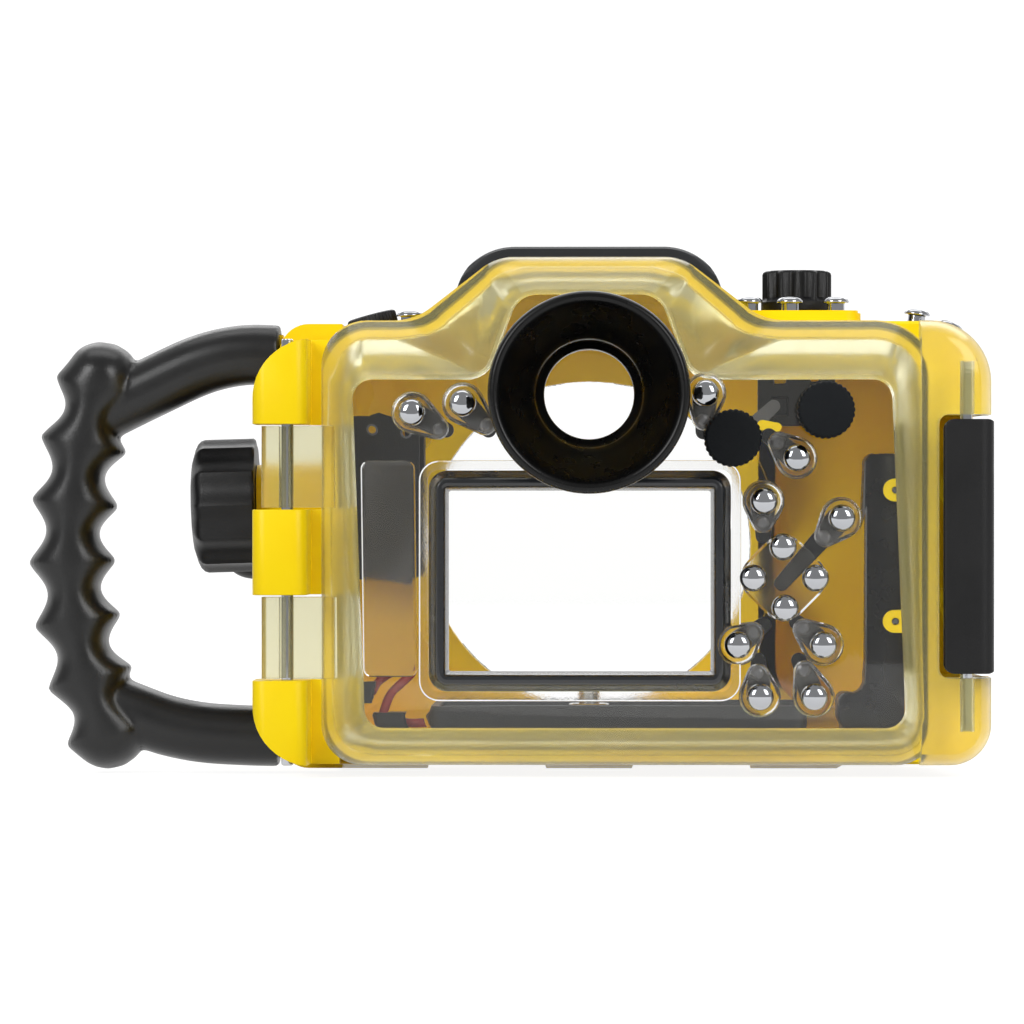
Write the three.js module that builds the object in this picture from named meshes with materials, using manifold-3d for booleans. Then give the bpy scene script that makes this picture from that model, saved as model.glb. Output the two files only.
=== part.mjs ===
// Underwater camera housing, in millimetres, with +Z up.
// The clear rear door faces -Y, the lens port faces +Y, and the lens axis is at X = 0.
// The origin is on the underside of the base pad that lies below the lens axis.
import * as THREE from 'three';
import { mergeVertices } from 'three/addons/utils/BufferGeometryUtils.js';
import Module from 'manifold-3d';

const wasm = await Module();
wasm.setup();

// Clearances and fineness
const GAP = 0.3; // between neighbours that seat on or run in each other
const OVERRUN = 2; // how far a cut runs past the face that it opens
const SUNK = 0.6; // how far a boss is rooted in the wall that carries it
const MERGE_STEP = 1e-4;
const ARC_STEPS = 3;
const SHAFT_SIDES = 8;
const CAP_SIDES = 9;
const DISC_SIDES = 12;
const WHEEL_SIDES = 20;
const PORT_SIDES = 30;
const HOOD_STEPS = 4;

// Body outline, seen from behind
const BODY_LEFT = 78;
const BODY_RIGHT = 117;
const PAD_HEIGHT = 4;
const BODY_HEIGHT = 129.5;
const HUMP_RISE = 18.5;
const HUMP_CROWN = 27;
const HUMP_FOOT = 51;
const BASE_RADIUS = 12;
const SHOULDER_RADIUS = 18;
const LEFT_SHOULDER_RADIUS = 14;
const HUMP_RADIUS = 15;
const HUMP_FOOT_RADIUS = 18;
const BODY_FLOOR = PAD_HEIGHT;
const BODY_TOP = BODY_FLOOR + BODY_HEIGHT;
const HUMP_TOP = BODY_TOP + HUMP_RISE;

// Front case
const CASE_DEPTH = 78;
const CASE_WALL = 5;
const CASE_RIM = 8;
const CASE_STEP = 1.6;
const CASE_DRAFT = 2.4;
const CASE_EDGE = 9;
const SEAL_LAND = 8.5;
const PORT_DROP = 0.95; // of the lens axis below the body's middle
const PORT_STEP_SHARE = 0.448; // of the body's height
const PORT_LIP = 8.2;
const PORT_BOSS_WALL = 5;
const PORT_HEIGHT = BODY_FLOOR + BODY_HEIGHT / 2 - PORT_DROP;
const PORT_STEP_RADIUS = BODY_HEIGHT * PORT_STEP_SHARE;
const PORT_RADIUS = PORT_STEP_RADIUS - PORT_LIP;
const PORT_BOSS_RADIUS = PORT_STEP_RADIUS + PORT_BOSS_WALL;
const PORT_BOSS_RISE = 12;
const PORT_LEDGE = 8;
const GRIP_LEFT = 52;
const GRIP_RISE = 17;
const GRIP_EDGE = 10;
const GRIP_MARGIN = 9;
const RING_MARGIN = 1.5; // around the port ring
const PAD_WIDTH = 26;
const PAD_LENGTH = 54;
const PAD_SPREAD = 62;

// Clear rear door
const COVER_DEPTH = 22;
const COVER_WALL = 4;
const COVER_FLANGE = 5;
const WINDOW_LEFT = 66.6;
const WINDOW_LEAN = 1.6;
const WINDOW_RIGHT = 88.5;
const WINDOW_BELOW = 11;
const WINDOW_ABOVE = 17.2;
const WINDOW_RADIUS = 6;
const WINDOW_EDGE = 2;
const WINDOW_HUMP_RISE = 24.5;
const WINDOW_HUMP_CROWN = 20.5;
const WINDOW_HUMP_FOOT = 29.5;
const WINDOW_HUMP_RADIUS = 8;
const WINDOW_FLOOR = BODY_FLOOR + WINDOW_BELOW;
const WINDOW_TOP = BODY_TOP - WINDOW_ABOVE;
const WINDOW_WIDTH = WINDOW_LEFT + WINDOW_RIGHT;
const WINDOW_HEIGHT = WINDOW_TOP - WINDOW_FLOOR;

// Latch on the right side
const POCKET_X = 101.2;
const POCKET_LOW = 29.5;
const POCKET_BELOW_TOP = 27.5;
const POCKET_HIGH = BODY_TOP - POCKET_BELOW_TOP;
const POCKET_DEPTH = 34;
const POCKET_RADIUS = 1;
const EAR_THICKNESS = 15.5;
const LATCH_PIN_RADIUS = 1.75;
const LATCH_PIN_X = 109.2;
const LATCH_PIN_DEPTH = 11.5;
const LATCH_PIN_IN_EAR = 15;
const LEVER_PLAY = 1.4;
const LEVER_THICKNESS = 3.2;
const LEVER_LEFT = 102.5;
const LEVER_REAR = 15.2;
const LEVER_LEAN = 0.8;
const LEVER_OUTSTAND = 1;
const LEVER_RADIUS = 6;
const LEVER_REACH = 26;
const CHEEK_THICKNESS = 6;
const CHEEK_HALF = 4;
const HOOK_PIVOT_X = 111.2;
const HOOK_PIVOT_Y = 1;
const HOOK_PIN_RADIUS = 1.5;
const HOOK_PLATE = 2.4;
const HOOK_LIP = 3;
const HOOK_LIP_START = 11;
const LUG_REACH = 6.1;
const LUG_START = 5;
const LUG_THICKNESS = 4.5;
const LUG_HEIGHT = 8;
const LUG_SPREAD = 16.5;

// Hinge on the left side
const HINGE_X = 87.7;
const HINGE_BEHIND = 9;
const HINGE_PIN_RADIUS = 1.75;
const KNUCKLE_LEFT = 9.9;
const KNUCKLE_RIGHT = 6;
const KNUCKLE_REAR = 8.6;
const KNUCKLE_FRONT = 24;
const KNUCKLE_RADIUS = 4;
const KNUCKLE_CORNER = 13;
const SNAP_LEFT = 7.3;
const SNAP_RIGHT = 15;
const SNAP_HALF_DEPTH = 7;
const SNAP_RADIUS = 3;
const HINGE_SEGMENTS = 5;
const HINGE_SHORT = 5.5; // of the body's height
const HINGE_SEGMENT = (BODY_HEIGHT - HINGE_SHORT) / HINGE_SEGMENTS;
const HINGE_PLAY = 0.6;

// Door seal and hump shroud
const SEAL_RADIUS = 1.4;
const SEAL_SIDES = 5;
const SHROUD_HALF = 38.5;
const SHROUD_THICKNESS = 5.2;
const SHROUD_BEHIND_FRONT = 18;
const SHROUD_LENGTH = CASE_DEPTH - SHROUD_BEHIND_FRONT;

// Top controls, on a raised platform and on both shoulders
const PLATFORM_LEFT = 42;
const PLATFORM_RIGHT = 80;
const PLATFORM_REAR = 9;
const PLATFORM_FRONT = 50;
const PLATFORM_RISE = 3.5;
const PLATFORM_RADIUS = 5;
const TOP_KNOB_X = 62;
const TOP_KNOB_Y = 34;
const TOP_KNOB_RADIUS = 10.7;
const TOP_KNOB_HEIGHT = 12.3;
const SHAFT_RADIUS = 3;
const TOP_KNOB_SKIRT = 3.4;
const TOP_KNOB_FLUTES = 9;
const CAP_RADIUS = 3.9;
const CAP_HEIGHT = 3.2;
const CAP_EDGE = 0.7;
const STEM_RADIUS = 2.6;
const STROKE = 2.4;
const TOP_CAP_HEIGHT = 1.9;
const STEM_TAIL = 4;
const TOP_BUTTON_Y = 16;
const TOP_BUTTON_X_SHARES = [0.14, 0.455, 0.81];
const SHUTTER_X = 97.4;
const SHUTTER_Y = 35;
const SHUTTER_TILT = THREE.MathUtils.degToRad(7);
const BUSH_RADIUS = 5.6;
const BUSH_HEIGHT = 1.6;
const SHOULDER_TILT = THREE.MathUtils.degToRad(26);
const SHOULDER_Y = 26;
const SEAT_RISE = 1.2; // of the small bosses under the shoulder controls
const RELEASE_X = 64;
const RELEASE_Y = 30;
const RELEASE_TILT = THREE.MathUtils.degToRad(15);
const RELEASE_RADIUS = 7.4;
const RELEASE_HEIGHT = 4;
const RELEASE_BUTTON_X = 53;
const RELEASE_BUTTON_Y = 18;

// Side knob and its inner wheel
const SIDE_DRAFT = THREE.MathUtils.degToRad(1.7);
const SIDE_KNOB_BEHIND_FRONT = 33;
const SIDE_KNOB_BELOW_TOP = 53;
const SIDE_KNOB_Y = CASE_DEPTH - SIDE_KNOB_BEHIND_FRONT;
const SIDE_KNOB_HEIGHT = BODY_TOP - SIDE_KNOB_BELOW_TOP;
const SIDE_KNOB_RADIUS = 20;
const SIDE_KNOB_LENGTH = 19.5;
const SIDE_KNOB_END = 41.2;
const SIDE_KNOB_DOME = 3;
const SIDE_KNOB_FLUTES = 12;
const SIDE_BOSS_RADIUS = 12;
const FLUTE_DEPTH = 1.1;
const GEAR_START = 12;
const GEAR_WIDTH = 6;
const GEAR_RADIUS = 20;
const GEAR_TOOTH = 1.8;
const GEAR_TEETH = 16;

// Lens port and its release at the left
const RING_HEIGHT = 5.7;
const RING_EDGE = 1.2;
const BAYONET_SLOTS = 3;
const BAYONET_WIDTH = 14;
const BAYONET_DEPTH = 3;
const PORT_RELEASE_AHEAD = 20.5; // of the side knob
const PORT_RELEASE_DROP = 17.2;
const PORT_RELEASE_Y = SIDE_KNOB_Y + PORT_RELEASE_AHEAD;
const PORT_RELEASE_HEIGHT = SIDE_KNOB_HEIGHT - PORT_RELEASE_DROP;
const PORT_RELEASE_RADIUS = 6;
const PORT_RELEASE_END = 32.5;
const PORT_RELEASE_DOME = 8.5;
const PORT_RELEASE_SKIRT = 3;
const PORT_RELEASE_STROKE = 3;
const PORT_RELEASE_BOSS = 5;
const PORT_RELEASE_DEPTH = 12;

// Handle at the left
const HANDLE_Y = 30;
const ARM_BELOW_TOP = 9.1;
const ARM_HIGH = BODY_TOP - ARM_BELOW_TOP;
const ARM_LOW = 10.9;
const ARM_HALF_HEIGHT = 9;
const ARM_HALF_DEPTH = 11;
const ARM_END = 92;
const TONGUE_LENGTH = 12;
const TONGUE_THICKNESS = 8;
const TONGUE_HALF_HEIGHT = 6;
const BOLT_RADIUS = 2.5;
const BOLT_HEAD_RADIUS = 4.4;
const BOLT_HEAD_HEIGHT = 3;
const GRIP_REACH = 62.1;
const GRIP_SIDES = 8;
const GRIP_RINGS = 34;
const ARM_RINGS = 6;
const HANDLE_ABOVE_TOP = 0.5;
const HANDLE_HEIGHT = BODY_TOP + HANDLE_ABOVE_TOP;
const GRIP_VALLEY = 8.4;
const GRIP_RIDGE = 13.5;
const GRIP_HALF_DEPTH = 14;
const GRIP_PITCH = 17.6;
const GRIP_FIRST_RIDGE = 13.5;
const GRIP_END = 10;
const GRIP_LINE_SHARES = [
  [0.832, 0.956],
  [0.852, 0.9],
  [0.942, 0.74],
  [0.986, 0.607],
  [1, 0.473],
  [0.971, 0.328],
  [0.903, 0.191],
  [0.83, 0.095],
  [0.79, 0.012],
];
const HIGH_ARM_LINE_SHARES = [[0, 0.928], [0.17, 0.929], [0.36, 0.911], [0.625, 0.856], [0.87, 0.8]];
const LOW_ARM_LINE_SHARES = [
  [0, 0.081],
  [0.17, 0.083],
  [0.385, 0.09],
  [0.554, 0.106],
  [0.697, 0.13],
  [0.86, 0.16],
];

// Inside: camera tray, pad, drive bracket, moisture sensor and the controls' bracket
const TRAY_LEFT = 46;
const TRAY_RIGHT = 64;
const TRAY_REAR = 8;
const TRAY_BEHIND_FRONT = 18;
const TRAY_FRONT = CASE_DEPTH - TRAY_BEHIND_FRONT;
const TRAY_THICKNESS = 3.4;
const TRAY_RADIUS = 4;
const TRAY_LIP = 2.2;
const RIB_WIDTH = 5;
const RIB_PLACES = [-57, -36, 9, 54];
const TRAY_SCREW_Y = 30;
const TRAY_SCREW_RADIUS = 3.1;
const TRAY_SCREW_HEAD = 6;
const TRAY_SCREW_HEIGHT = 10.8;
const PAD_LEFT = 80.5;
const PAD_RIGHT = 91;
const PAD_FOOT_LEFT = 73;
const PAD_FOOT_HEIGHT = 10;
const PAD_BELOW_TOP = 39;
const PAD_TOP = BODY_TOP - PAD_BELOW_TOP;
const PAD_EDGE = 1.5;
const PAD_REAR = 8;
const PAD_FRONT = 28;
const BRACKET_LEFT = 56;
const BRACKET_WIDTH = 6;
const BRACKET_BELOW = 22.5; // the side knob's shaft
const BRACKET_ABOVE = 25.5;
const BRACKET_LOW = SIDE_KNOB_HEIGHT - BRACKET_BELOW;
const BRACKET_HIGH = SIDE_KNOB_HEIGHT + BRACKET_ABOVE;
const BRACKET_DEPTH = 12;
const SENSOR_LEFT = 62;
const SENSOR_RIGHT = 52.5;
const SENSOR_REAR = 20;
const SENSOR_LENGTH = 12;
const SENSOR_HEIGHT = 3.6;
const PLUG_LEFT = 67;
const PLUG_WIDTH = 4;
const PLUG_LOW = 21.5;
const PLUG_HEIGHT = 6;
const WIRE_RADIUS = 1.3;
const WIRE_STEPS = 14;
const LINKAGE_REAR = 22;
const LINKAGE_DEPTH = 5;
const LINKAGE_BELOW_TOP = 30.3;
const LINKAGE_HEIGHT = 11.8;
const LINKAGE_LOW = BODY_TOP - LINKAGE_BELOW_TOP;
const LINKAGE_HIGH = LINKAGE_LOW + LINKAGE_HEIGHT;
const LINKAGE_BARS = [[50, 54.8], [58.4, 65.6], [68, 72.8]];

// Push buttons, knobs and mouldings of the door. Across, the left buttons have shares of the window,
// and the others of the field between the monitor and the window's right edge.
const BOSS_RISE = 2;
const BOSS_RADIUS = 5.6;
const BOSS_END_RADIUS = 2.8;
const CLIP_RADIUS = 3.2;
const CLIP_THICKNESS = 1;
const ARM_THICKNESS = 2.4;
const ARM_RADIUS = 3.2;
const ARM_TIP_RADIUS = 2.2;
const ARM_FOOT = 3;
const PADDLE_HALF = 13.2;
const PADDLE_RADIUS = 5.4;
const LEFT_BUTTON_SHARES = [
  { cap: [0.101, 0.902], screw: [0.148, 0.857], tip: [0.163, 0.853] },
  { cap: [0.195, 0.928], screw: [0.236, 0.869], tip: [0.242, 0.853] },
];
const RIGHT_BUTTON_SHARES = [
  { cap: [-0.154, 0.956], screw: [-0.164, 0.883], tip: [-0.164, 0.848] },
  { cap: [0.395, 0.772], screw: [0.291, 0.815], tip: [0.233, 0.836] },
  { cap: [0.197, 0.65], screw: [0.194, 0.591], tip: [0.2, 0.55] },
  { cap: [0.665, 0.602], screw: [0.571, 0.551], tip: [0.311, 0.416] },
  { cap: [0.311, 0.52] },
  { cap: [0.132, 0.432] },
  { cap: [0.506, 0.432] },
  { cap: [0.324, 0.347] },
  { cap: [0.041, 0.242], screw: [0.132, 0.275], tip: [0.207, 0.299] },
  { cap: [0.555, 0.242], screw: [0.441, 0.284], tip: [0.402, 0.305] },
  { cap: [0.174, 0.095], screw: [0.164, 0.156], tip: [0.171, 0.196] },
  { cap: [0.499, 0.095], screw: [0.447, 0.165], tip: [0.415, 0.196] },
];
const PADDLE_SHARES = [0.317, 0.432];
const REAR_KNOB_SHARES = [[0.008, 0.828], [0.568, 0.908]];
const REAR_KNOB_RADIUS = 8.3;
const REAR_KNOB_HEIGHT = 8.5;
const REAR_KNOB_SCALLOPS = 18;
const REAR_KNOB_WHEEL_RADIUS = 6;
const REAR_KNOB_WHEEL = 3;
const PLATE_LOW_SHARE = 0.15;
const PLATE_HIGH_SHARE = 0.765;
const PLATE_RISE = 1.4;
const PLATE_RADIUS = 2.4;

// Eyepiece and its rubber cup
const EYE_BELOW_TOP = 22.1;
const EYE_HEIGHT = BODY_TOP - EYE_BELOW_TOP;
const EYE_HOLE_RADIUS = 12.9;
const EYE_GLASS_RADIUS = 15.2;
const EYE_GLASS_THICKNESS = 2.6;
const EYECUP_RADIUS = 28.6;
const EYECUP_NECK_RADIUS = 18.2;
const EYECUP_DEPTH = 37;
const EYECUP_LIP = 1.8;
const EYECUP_BRIM = 9;
const EYECUP_BOWL_RADIUS = 15.4;

// Monitor frame, which fills the room between the eyepiece and the window's lower edge
const MONITOR_WIDTH = 75;
const MONITOR_X_SHARE = 0.412;
const MONITOR_BORDER = 6;
const MONITOR_RISE = 7;
const MONITOR_RADIUS = 3.4;
const MONITOR_FLANGE = 3;
const MONITOR_FLANGE_RISE = 1.3;
const MONITOR_BELOW_EYE = 3.55;
const MONITOR_ABOVE_FLOOR = 11.05;
const MONITOR_TOP = EYE_HEIGHT - EYECUP_NECK_RADIUS - MONITOR_BELOW_EYE - MONITOR_BORDER;
const MONITOR_LOW = WINDOW_FLOOR + MONITOR_ABOVE_FLOOR + MONITOR_BORDER;
const MONITOR_X = MONITOR_X_SHARE * WINDOW_WIDTH - WINDOW_LEFT;
const FIELD_LEFT = MONITOR_X + MONITOR_WIDTH / 2 + MONITOR_BORDER;
const FIELD_WIDTH = WINDOW_RIGHT - FIELD_LEFT;
const PLATE_GAP = 1; // between the bare plate and the monitor's step
const PLATE_LEFT = -WINDOW_LEFT + WINDOW_LEAN / 2;
const PLATE_RIGHT = MONITOR_X - MONITOR_WIDTH / 2 - MONITOR_BORDER - MONITOR_FLANGE - PLATE_GAP;
const PLATE_WIDTH = PLATE_RIGHT - PLATE_LEFT;

// Colours and finishes
const YELLOW = 0xf5d808;
const BLACK = 0x1b1b1c;
const SMOKE = 0xd9d6c6;
const STEEL = 0xc9cbcc;
const CHROME = 0xe3e4e6;
const RUBBER = 0x0c0c0c;
const RED = 0x6e1420;

const plastic = (color, roughness = 0.45) => new THREE.MeshStandardMaterial(
  { color, roughness, metalness: 0 },
);
const metal = (color, roughness = 0.3) => new THREE.MeshStandardMaterial({ color, roughness, metalness: 1 });

const clear = () => {
  const material = plastic(SMOKE, 0.1);
  material.transparent = true;
  material.opacity = 0.45;
  return material;
};

// Turns a closed surface's triangles to face outwards
function facingOut(corners, index) {
  let volume = 0;
  for (let i = 0; i < index.length; i += 3) {
    const [a, b, c] = [corners(index[i]), corners(index[i + 1]), corners(index[i + 2])];
    volume += a.dot(b.cross(c));
  }
  return volume < 0 ? index.reverse() : index;
}

// A closed geometry becomes a solid that can be cut and joined
function solidOf(geometry) {
  const bare = geometry.clone();
  bare.deleteAttribute('normal');
  bare.deleteAttribute('uv');
  const merged = mergeVertices(bare, MERGE_STEP);
  const index = merged.index.array;
  const kept = [];
  for (let i = 0; i < index.length; i += 3) {
    const [a, b, c] = [index[i], index[i + 1], index[i + 2]];
    if (a !== b && b !== c && c !== a) {
      kept.push(a, b, c);
    }
  }
  const place = merged.attributes.position;
  const vertProperties = new Float32Array(place.array);
  const triVerts = new Uint32Array(facingOut((i) => new THREE.Vector3().fromBufferAttribute(place, i), kept));
  return new wasm.Manifold(new wasm.Mesh({ numProp: 3, vertProperties, triVerts }));
}

function geometryOf(solid) {
  const { vertProperties, triVerts } = solid.getMesh();
  const geometry = new THREE.BufferGeometry();
  geometry.setAttribute('position', new THREE.BufferAttribute(new Float32Array(vertProperties), 3));
  geometry.setIndex(new THREE.BufferAttribute(new Uint32Array(triVerts), 1));
  return geometry;
}

const join = (...shapes) => geometryOf(shapes.map(solidOf).reduce((sum, next) => sum.add(next)));
const cut = (body, ...tools) => geometryOf(
  tools.map(solidOf).reduce((rest, tool) => rest.subtract(tool), solidOf(body)),
);
const common = (body, other) => geometryOf(solidOf(body).intersect(solidOf(other)));

// A named mesh of one closed shape
function piece(name, shape, material) {
  const geometry = geometryOf(solidOf(shape));
  geometry.computeVertexNormals();
  const mesh = new THREE.Mesh(geometry, material);
  mesh.name = name;
  return mesh;
}

// The same outline moved inwards by a distance, corner for corner
function inset(corners, distance) {
  return corners.map((corner, i) => {
    const before = corners[(i + corners.length - 1) % corners.length];
    const after = corners[(i + 1) % corners.length];
    const into = new THREE.Vector2(corner.x - before.x, corner.z - before.z).normalize();
    const out = new THREE.Vector2(after.x - corner.x, after.z - corner.z).normalize();
    const share = distance / (1 + into.dot(out));
    const turn = Math.sign(into.cross(out)) || 1;
    return {
      x: corner.x - share * (into.y + out.y),
      z: corner.z + share * (into.x + out.x),
      r: Math.max(corner.r - turn * distance, corner.r / 8),
    };
  });
}

// Points of an outline with rounded corners, the same number for each corner
function rounded(corners, steps = ARC_STEPS) {
  return corners.flatMap((corner, i) => {
    const here = new THREE.Vector2(corner.x, corner.z);
    if (corner.r === 0) {
      return [here];
    }
    const before = corners[(i + corners.length - 1) % corners.length];
    const after = corners[(i + 1) % corners.length];
    const back = new THREE.Vector2(before.x, before.z).sub(here);
    const ahead = new THREE.Vector2(after.x, after.z).sub(here);
    const half = back.angleTo(ahead) / 2;
    const room = Math.min(back.length(), ahead.length()) * 0.49;
    const tangent = Math.min(corner.r / Math.tan(half), room);
    const start = here.clone().addScaledVector(back.normalize(), tangent);
    const end = here.clone().addScaledVector(ahead.normalize(), tangent);
    const centre = here.clone().addScaledVector(
      back.clone().add(ahead).normalize(),
      tangent / Math.cos(half),
    );
    const from = start.sub(centre);
    const to = end.sub(centre);
    const sweep = Math.atan2(from.cross(to), from.dot(to));
    const points = [];
    for (let step = 0; step <= steps; step += 1) {
      points.push(from.clone().rotateAround(new THREE.Vector2(), sweep * step / steps).add(centre));
    }
    return points;
  });
}

const ringAt = (corners, y, steps) => rounded(corners, steps).map(
  (point) => new THREE.Vector3(point.x, y, point.y),
);

// Two end faces of a skin, as triangles of ring indices
function capTriangles(ring, first, reversed) {
  const normal = new THREE.Vector3();
  ring.forEach((point, i) => normal.add(point.clone().cross(ring[(i + 1) % ring.length])));
  normal.normalize();
  const across = new THREE.Vector3(1, 0, 0);
  if (Math.abs(normal.x) > 0.8) {
    across.set(0, 1, 0);
  }
  const up = normal.clone().cross(across).normalize();
  across.crossVectors(up, normal);
  const flat = ring.map((point) => new THREE.Vector2(point.dot(across), point.dot(up)));
  return THREE.ShapeUtils.triangulateShape(flat, []).flatMap(([a, b, c]) => {
    const turn = flat[b].clone().sub(flat[a]).cross(flat[c].clone().sub(flat[a]));
    const keeps = (turn > 0) !== reversed;
    return keeps ? [first + a, first + b, first + c] : [first + a, first + c, first + b];
  });
}

// A closed surface through rings of equal count, capped at both ends or looped back on itself
function skin(rings, looped = false) {
  const count = rings[0].length;
  const index = [];
  const bands = looped ? rings.length : rings.length - 1;
  for (let band = 0; band < bands; band += 1) {
    const low = band * count;
    const high = ((band + 1) % rings.length) * count;
    for (let i = 0; i < count; i += 1) {
      const j = (i + 1) % count;
      index.push(low + i, low + j, high + j, low + i, high + j, high + i);
    }
  }
  if (!looped) {
    index.push(...capTriangles(rings[0], 0, true));
    index.push(...capTriangles(rings[rings.length - 1], count * (rings.length - 1), false));
  }
  const geometry = new THREE.BufferGeometry().setFromPoints(rings.flat());
  geometry.setIndex(index);
  return geometry;
}

// A plate with an outline in X and Z, straight along Y, with softened ends where a radius is given
function slab(corners, from, to, rearEdge = 0, frontEdge = 0, steps = ARC_STEPS) {
  const rings = [];
  if (rearEdge > 0) {
    rings.push(ringAt(inset(corners, rearEdge), from, steps));
    rings.push(ringAt(inset(corners, rearEdge * 0.29), from + rearEdge * 0.29, steps));
  }
  rings.push(ringAt(corners, from + rearEdge, steps));
  rings.push(ringAt(corners, to - frontEdge, steps));
  if (frontEdge > 0) {
    rings.push(ringAt(inset(corners, frontEdge * 0.29), to - frontEdge * 0.29, steps));
    rings.push(ringAt(inset(corners, frontEdge), to, steps));
  }
  return skin(rings);
}

// A hoop that follows an outline: each section point is an inset and a depth
const hoop = (corners, section, steps) => skin(
  section.map(([d, y]) => ringAt(inset(corners, d), y, steps)),
  true,
);

// A body of revolution about Y, from radius and depth pairs that start and end on the axis or close
// The whole numbers from nought up to a count
const upTo = (count) => Array.from({ length: count }, (_, i) => i);

const turned = (profile, sides) => new THREE.LatheGeometry(
  profile.map(([r, y]) => new THREE.Vector2(r, y)),
  sides,
);
const pin = (radius, from, to, sides = SHAFT_SIDES) => turned(
  [[0, from], [radius, from], [radius, to], [0, to]],
  sides,
);

// The same about Z and about X
const upright = (shape) => shape.rotateX(Math.PI / 2);
const sideways = (shape) => shape.rotateZ(-Math.PI / 2);

function block(x, y, z) {
  const geometry = new THREE.BoxGeometry(x[1] - x[0], y[1] - y[0], z[1] - z[0]);
  return geometry.translate((x[0] + x[1]) / 2, (y[0] + y[1]) / 2, (z[0] + z[1]) / 2);
}

const rectangle = (x, z, r) => [
  { x: x[0], z: z[0], r },
  { x: x[1], z: z[0], r },
  { x: x[1], z: z[1], r },
  { x: x[0], z: z[1], r },
];

// An outline in X and Y, drawn straight up along Z
function column(corners, low, high, steps = ARC_STEPS) {
  const ring = (z) => rounded(corners, steps).map((point) => new THREE.Vector3(point.x, point.y, z));
  return skin([ring(low), ring(high)]);
}

// Body outlines, counter-clockwise as seen from behind
const flangeCorners = [
  { x: -BODY_LEFT, z: BODY_FLOOR, r: BASE_RADIUS },
  { x: BODY_RIGHT, z: BODY_FLOOR, r: BASE_RADIUS },
  { x: BODY_RIGHT, z: BODY_TOP, r: SHOULDER_RADIUS },
  { x: HUMP_FOOT, z: BODY_TOP, r: HUMP_FOOT_RADIUS },
  { x: HUMP_CROWN, z: HUMP_TOP, r: HUMP_RADIUS },
  { x: -HUMP_CROWN, z: HUMP_TOP, r: HUMP_RADIUS },
  { x: -HUMP_FOOT, z: BODY_TOP, r: HUMP_FOOT_RADIUS },
  { x: -BODY_LEFT, z: BODY_TOP, r: LEFT_SHOULDER_RADIUS },
];

const coverCorners = flangeCorners.map((corner) => ({ ...corner, x: Math.min(corner.x, POCKET_X) }));

const windowCorners = [
  { x: WINDOW_LEAN - WINDOW_LEFT, z: WINDOW_FLOOR, r: WINDOW_RADIUS },
  { x: WINDOW_RIGHT, z: WINDOW_FLOOR, r: WINDOW_RADIUS },
  { x: WINDOW_RIGHT - WINDOW_LEAN, z: WINDOW_TOP, r: WINDOW_RADIUS },
  { x: WINDOW_HUMP_FOOT, z: WINDOW_TOP, r: WINDOW_HUMP_RADIUS },
  { x: WINDOW_HUMP_CROWN, z: WINDOW_TOP + WINDOW_HUMP_RISE, r: WINDOW_HUMP_RADIUS },
  { x: -WINDOW_HUMP_CROWN, z: WINDOW_TOP + WINDOW_HUMP_RISE, r: WINDOW_HUMP_RADIUS },
  { x: -WINDOW_HUMP_FOOT, z: WINDOW_TOP, r: WINDOW_HUMP_RADIUS },
  { x: -WINDOW_LEFT, z: WINDOW_TOP, r: WINDOW_RADIUS },
];

const atHinge = (shape) => shape.translate(-HINGE_X, -HINGE_BEHIND, 0);
const hingeZ = (segment) => BODY_FLOOR + segment * HINGE_SEGMENT;

// Plan of a knuckle, around the hinge pin
const knucklePlan = [
  { x: -KNUCKLE_LEFT, z: -KNUCKLE_REAR, r: KNUCKLE_RADIUS },
  { x: KNUCKLE_RIGHT, z: -KNUCKLE_REAR, r: KNUCKLE_RADIUS },
  { x: KNUCKLE_RIGHT + GAP, z: HINGE_BEHIND + GAP, r: 0 },
  { x: HINGE_X - BODY_LEFT + CASE_WALL, z: HINGE_BEHIND + GAP, r: 0 },
  { x: HINGE_X - BODY_LEFT + CASE_WALL, z: KNUCKLE_FRONT, r: 0 },
  { x: -KNUCKLE_LEFT, z: KNUCKLE_FRONT - KNUCKLE_REAR, r: KNUCKLE_RADIUS },
];

const knuckleSegments = upTo(HINGE_SEGMENTS).filter((segment) => segment % 2 === 0);

// Three knuckles, the outer two rounded at the body's corners
function knuckles() {
  const all = knuckleSegments.map((segment) => column(knucklePlan, hingeZ(segment), hingeZ(segment + 1)));
  const reach = HINGE_X - BODY_LEFT + CASE_WALL;
  const silhouette = rectangle(
    [-KNUCKLE_LEFT, reach + KNUCKLE_CORNER],
    [hingeZ(0), hingeZ(HINGE_SEGMENTS)],
    KNUCKLE_CORNER,
  );
  const bounded = common(join(...all), slab(silhouette, -KNUCKLE_REAR - OVERRUN, KNUCKLE_FRONT + OVERRUN));
  return atHinge(bounded);
}

// The hinge pin stops short of both outer knuckles' ends
const pinLow = BODY_FLOOR + HINGE_PIN_RADIUS;
const pinHigh = hingeZ(HINGE_SEGMENTS) - HINGE_PIN_RADIUS;
const hingeBore = () => atHinge(
  upright(pin(HINGE_PIN_RADIUS + GAP, pinLow - GAP, hingeZ(HINGE_SEGMENTS) + OVERRUN)),
);
const hingePin = () => upright(pin(HINGE_PIN_RADIUS, pinLow, pinHigh));

const frontFace = GAP + CASE_DEPTH;
const bossFace = frontFace + PORT_BOSS_RISE;
const outerCorners = inset(flangeCorners, CASE_STEP);
const cavityCorners = inset(coverCorners, SEAL_LAND);

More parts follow.
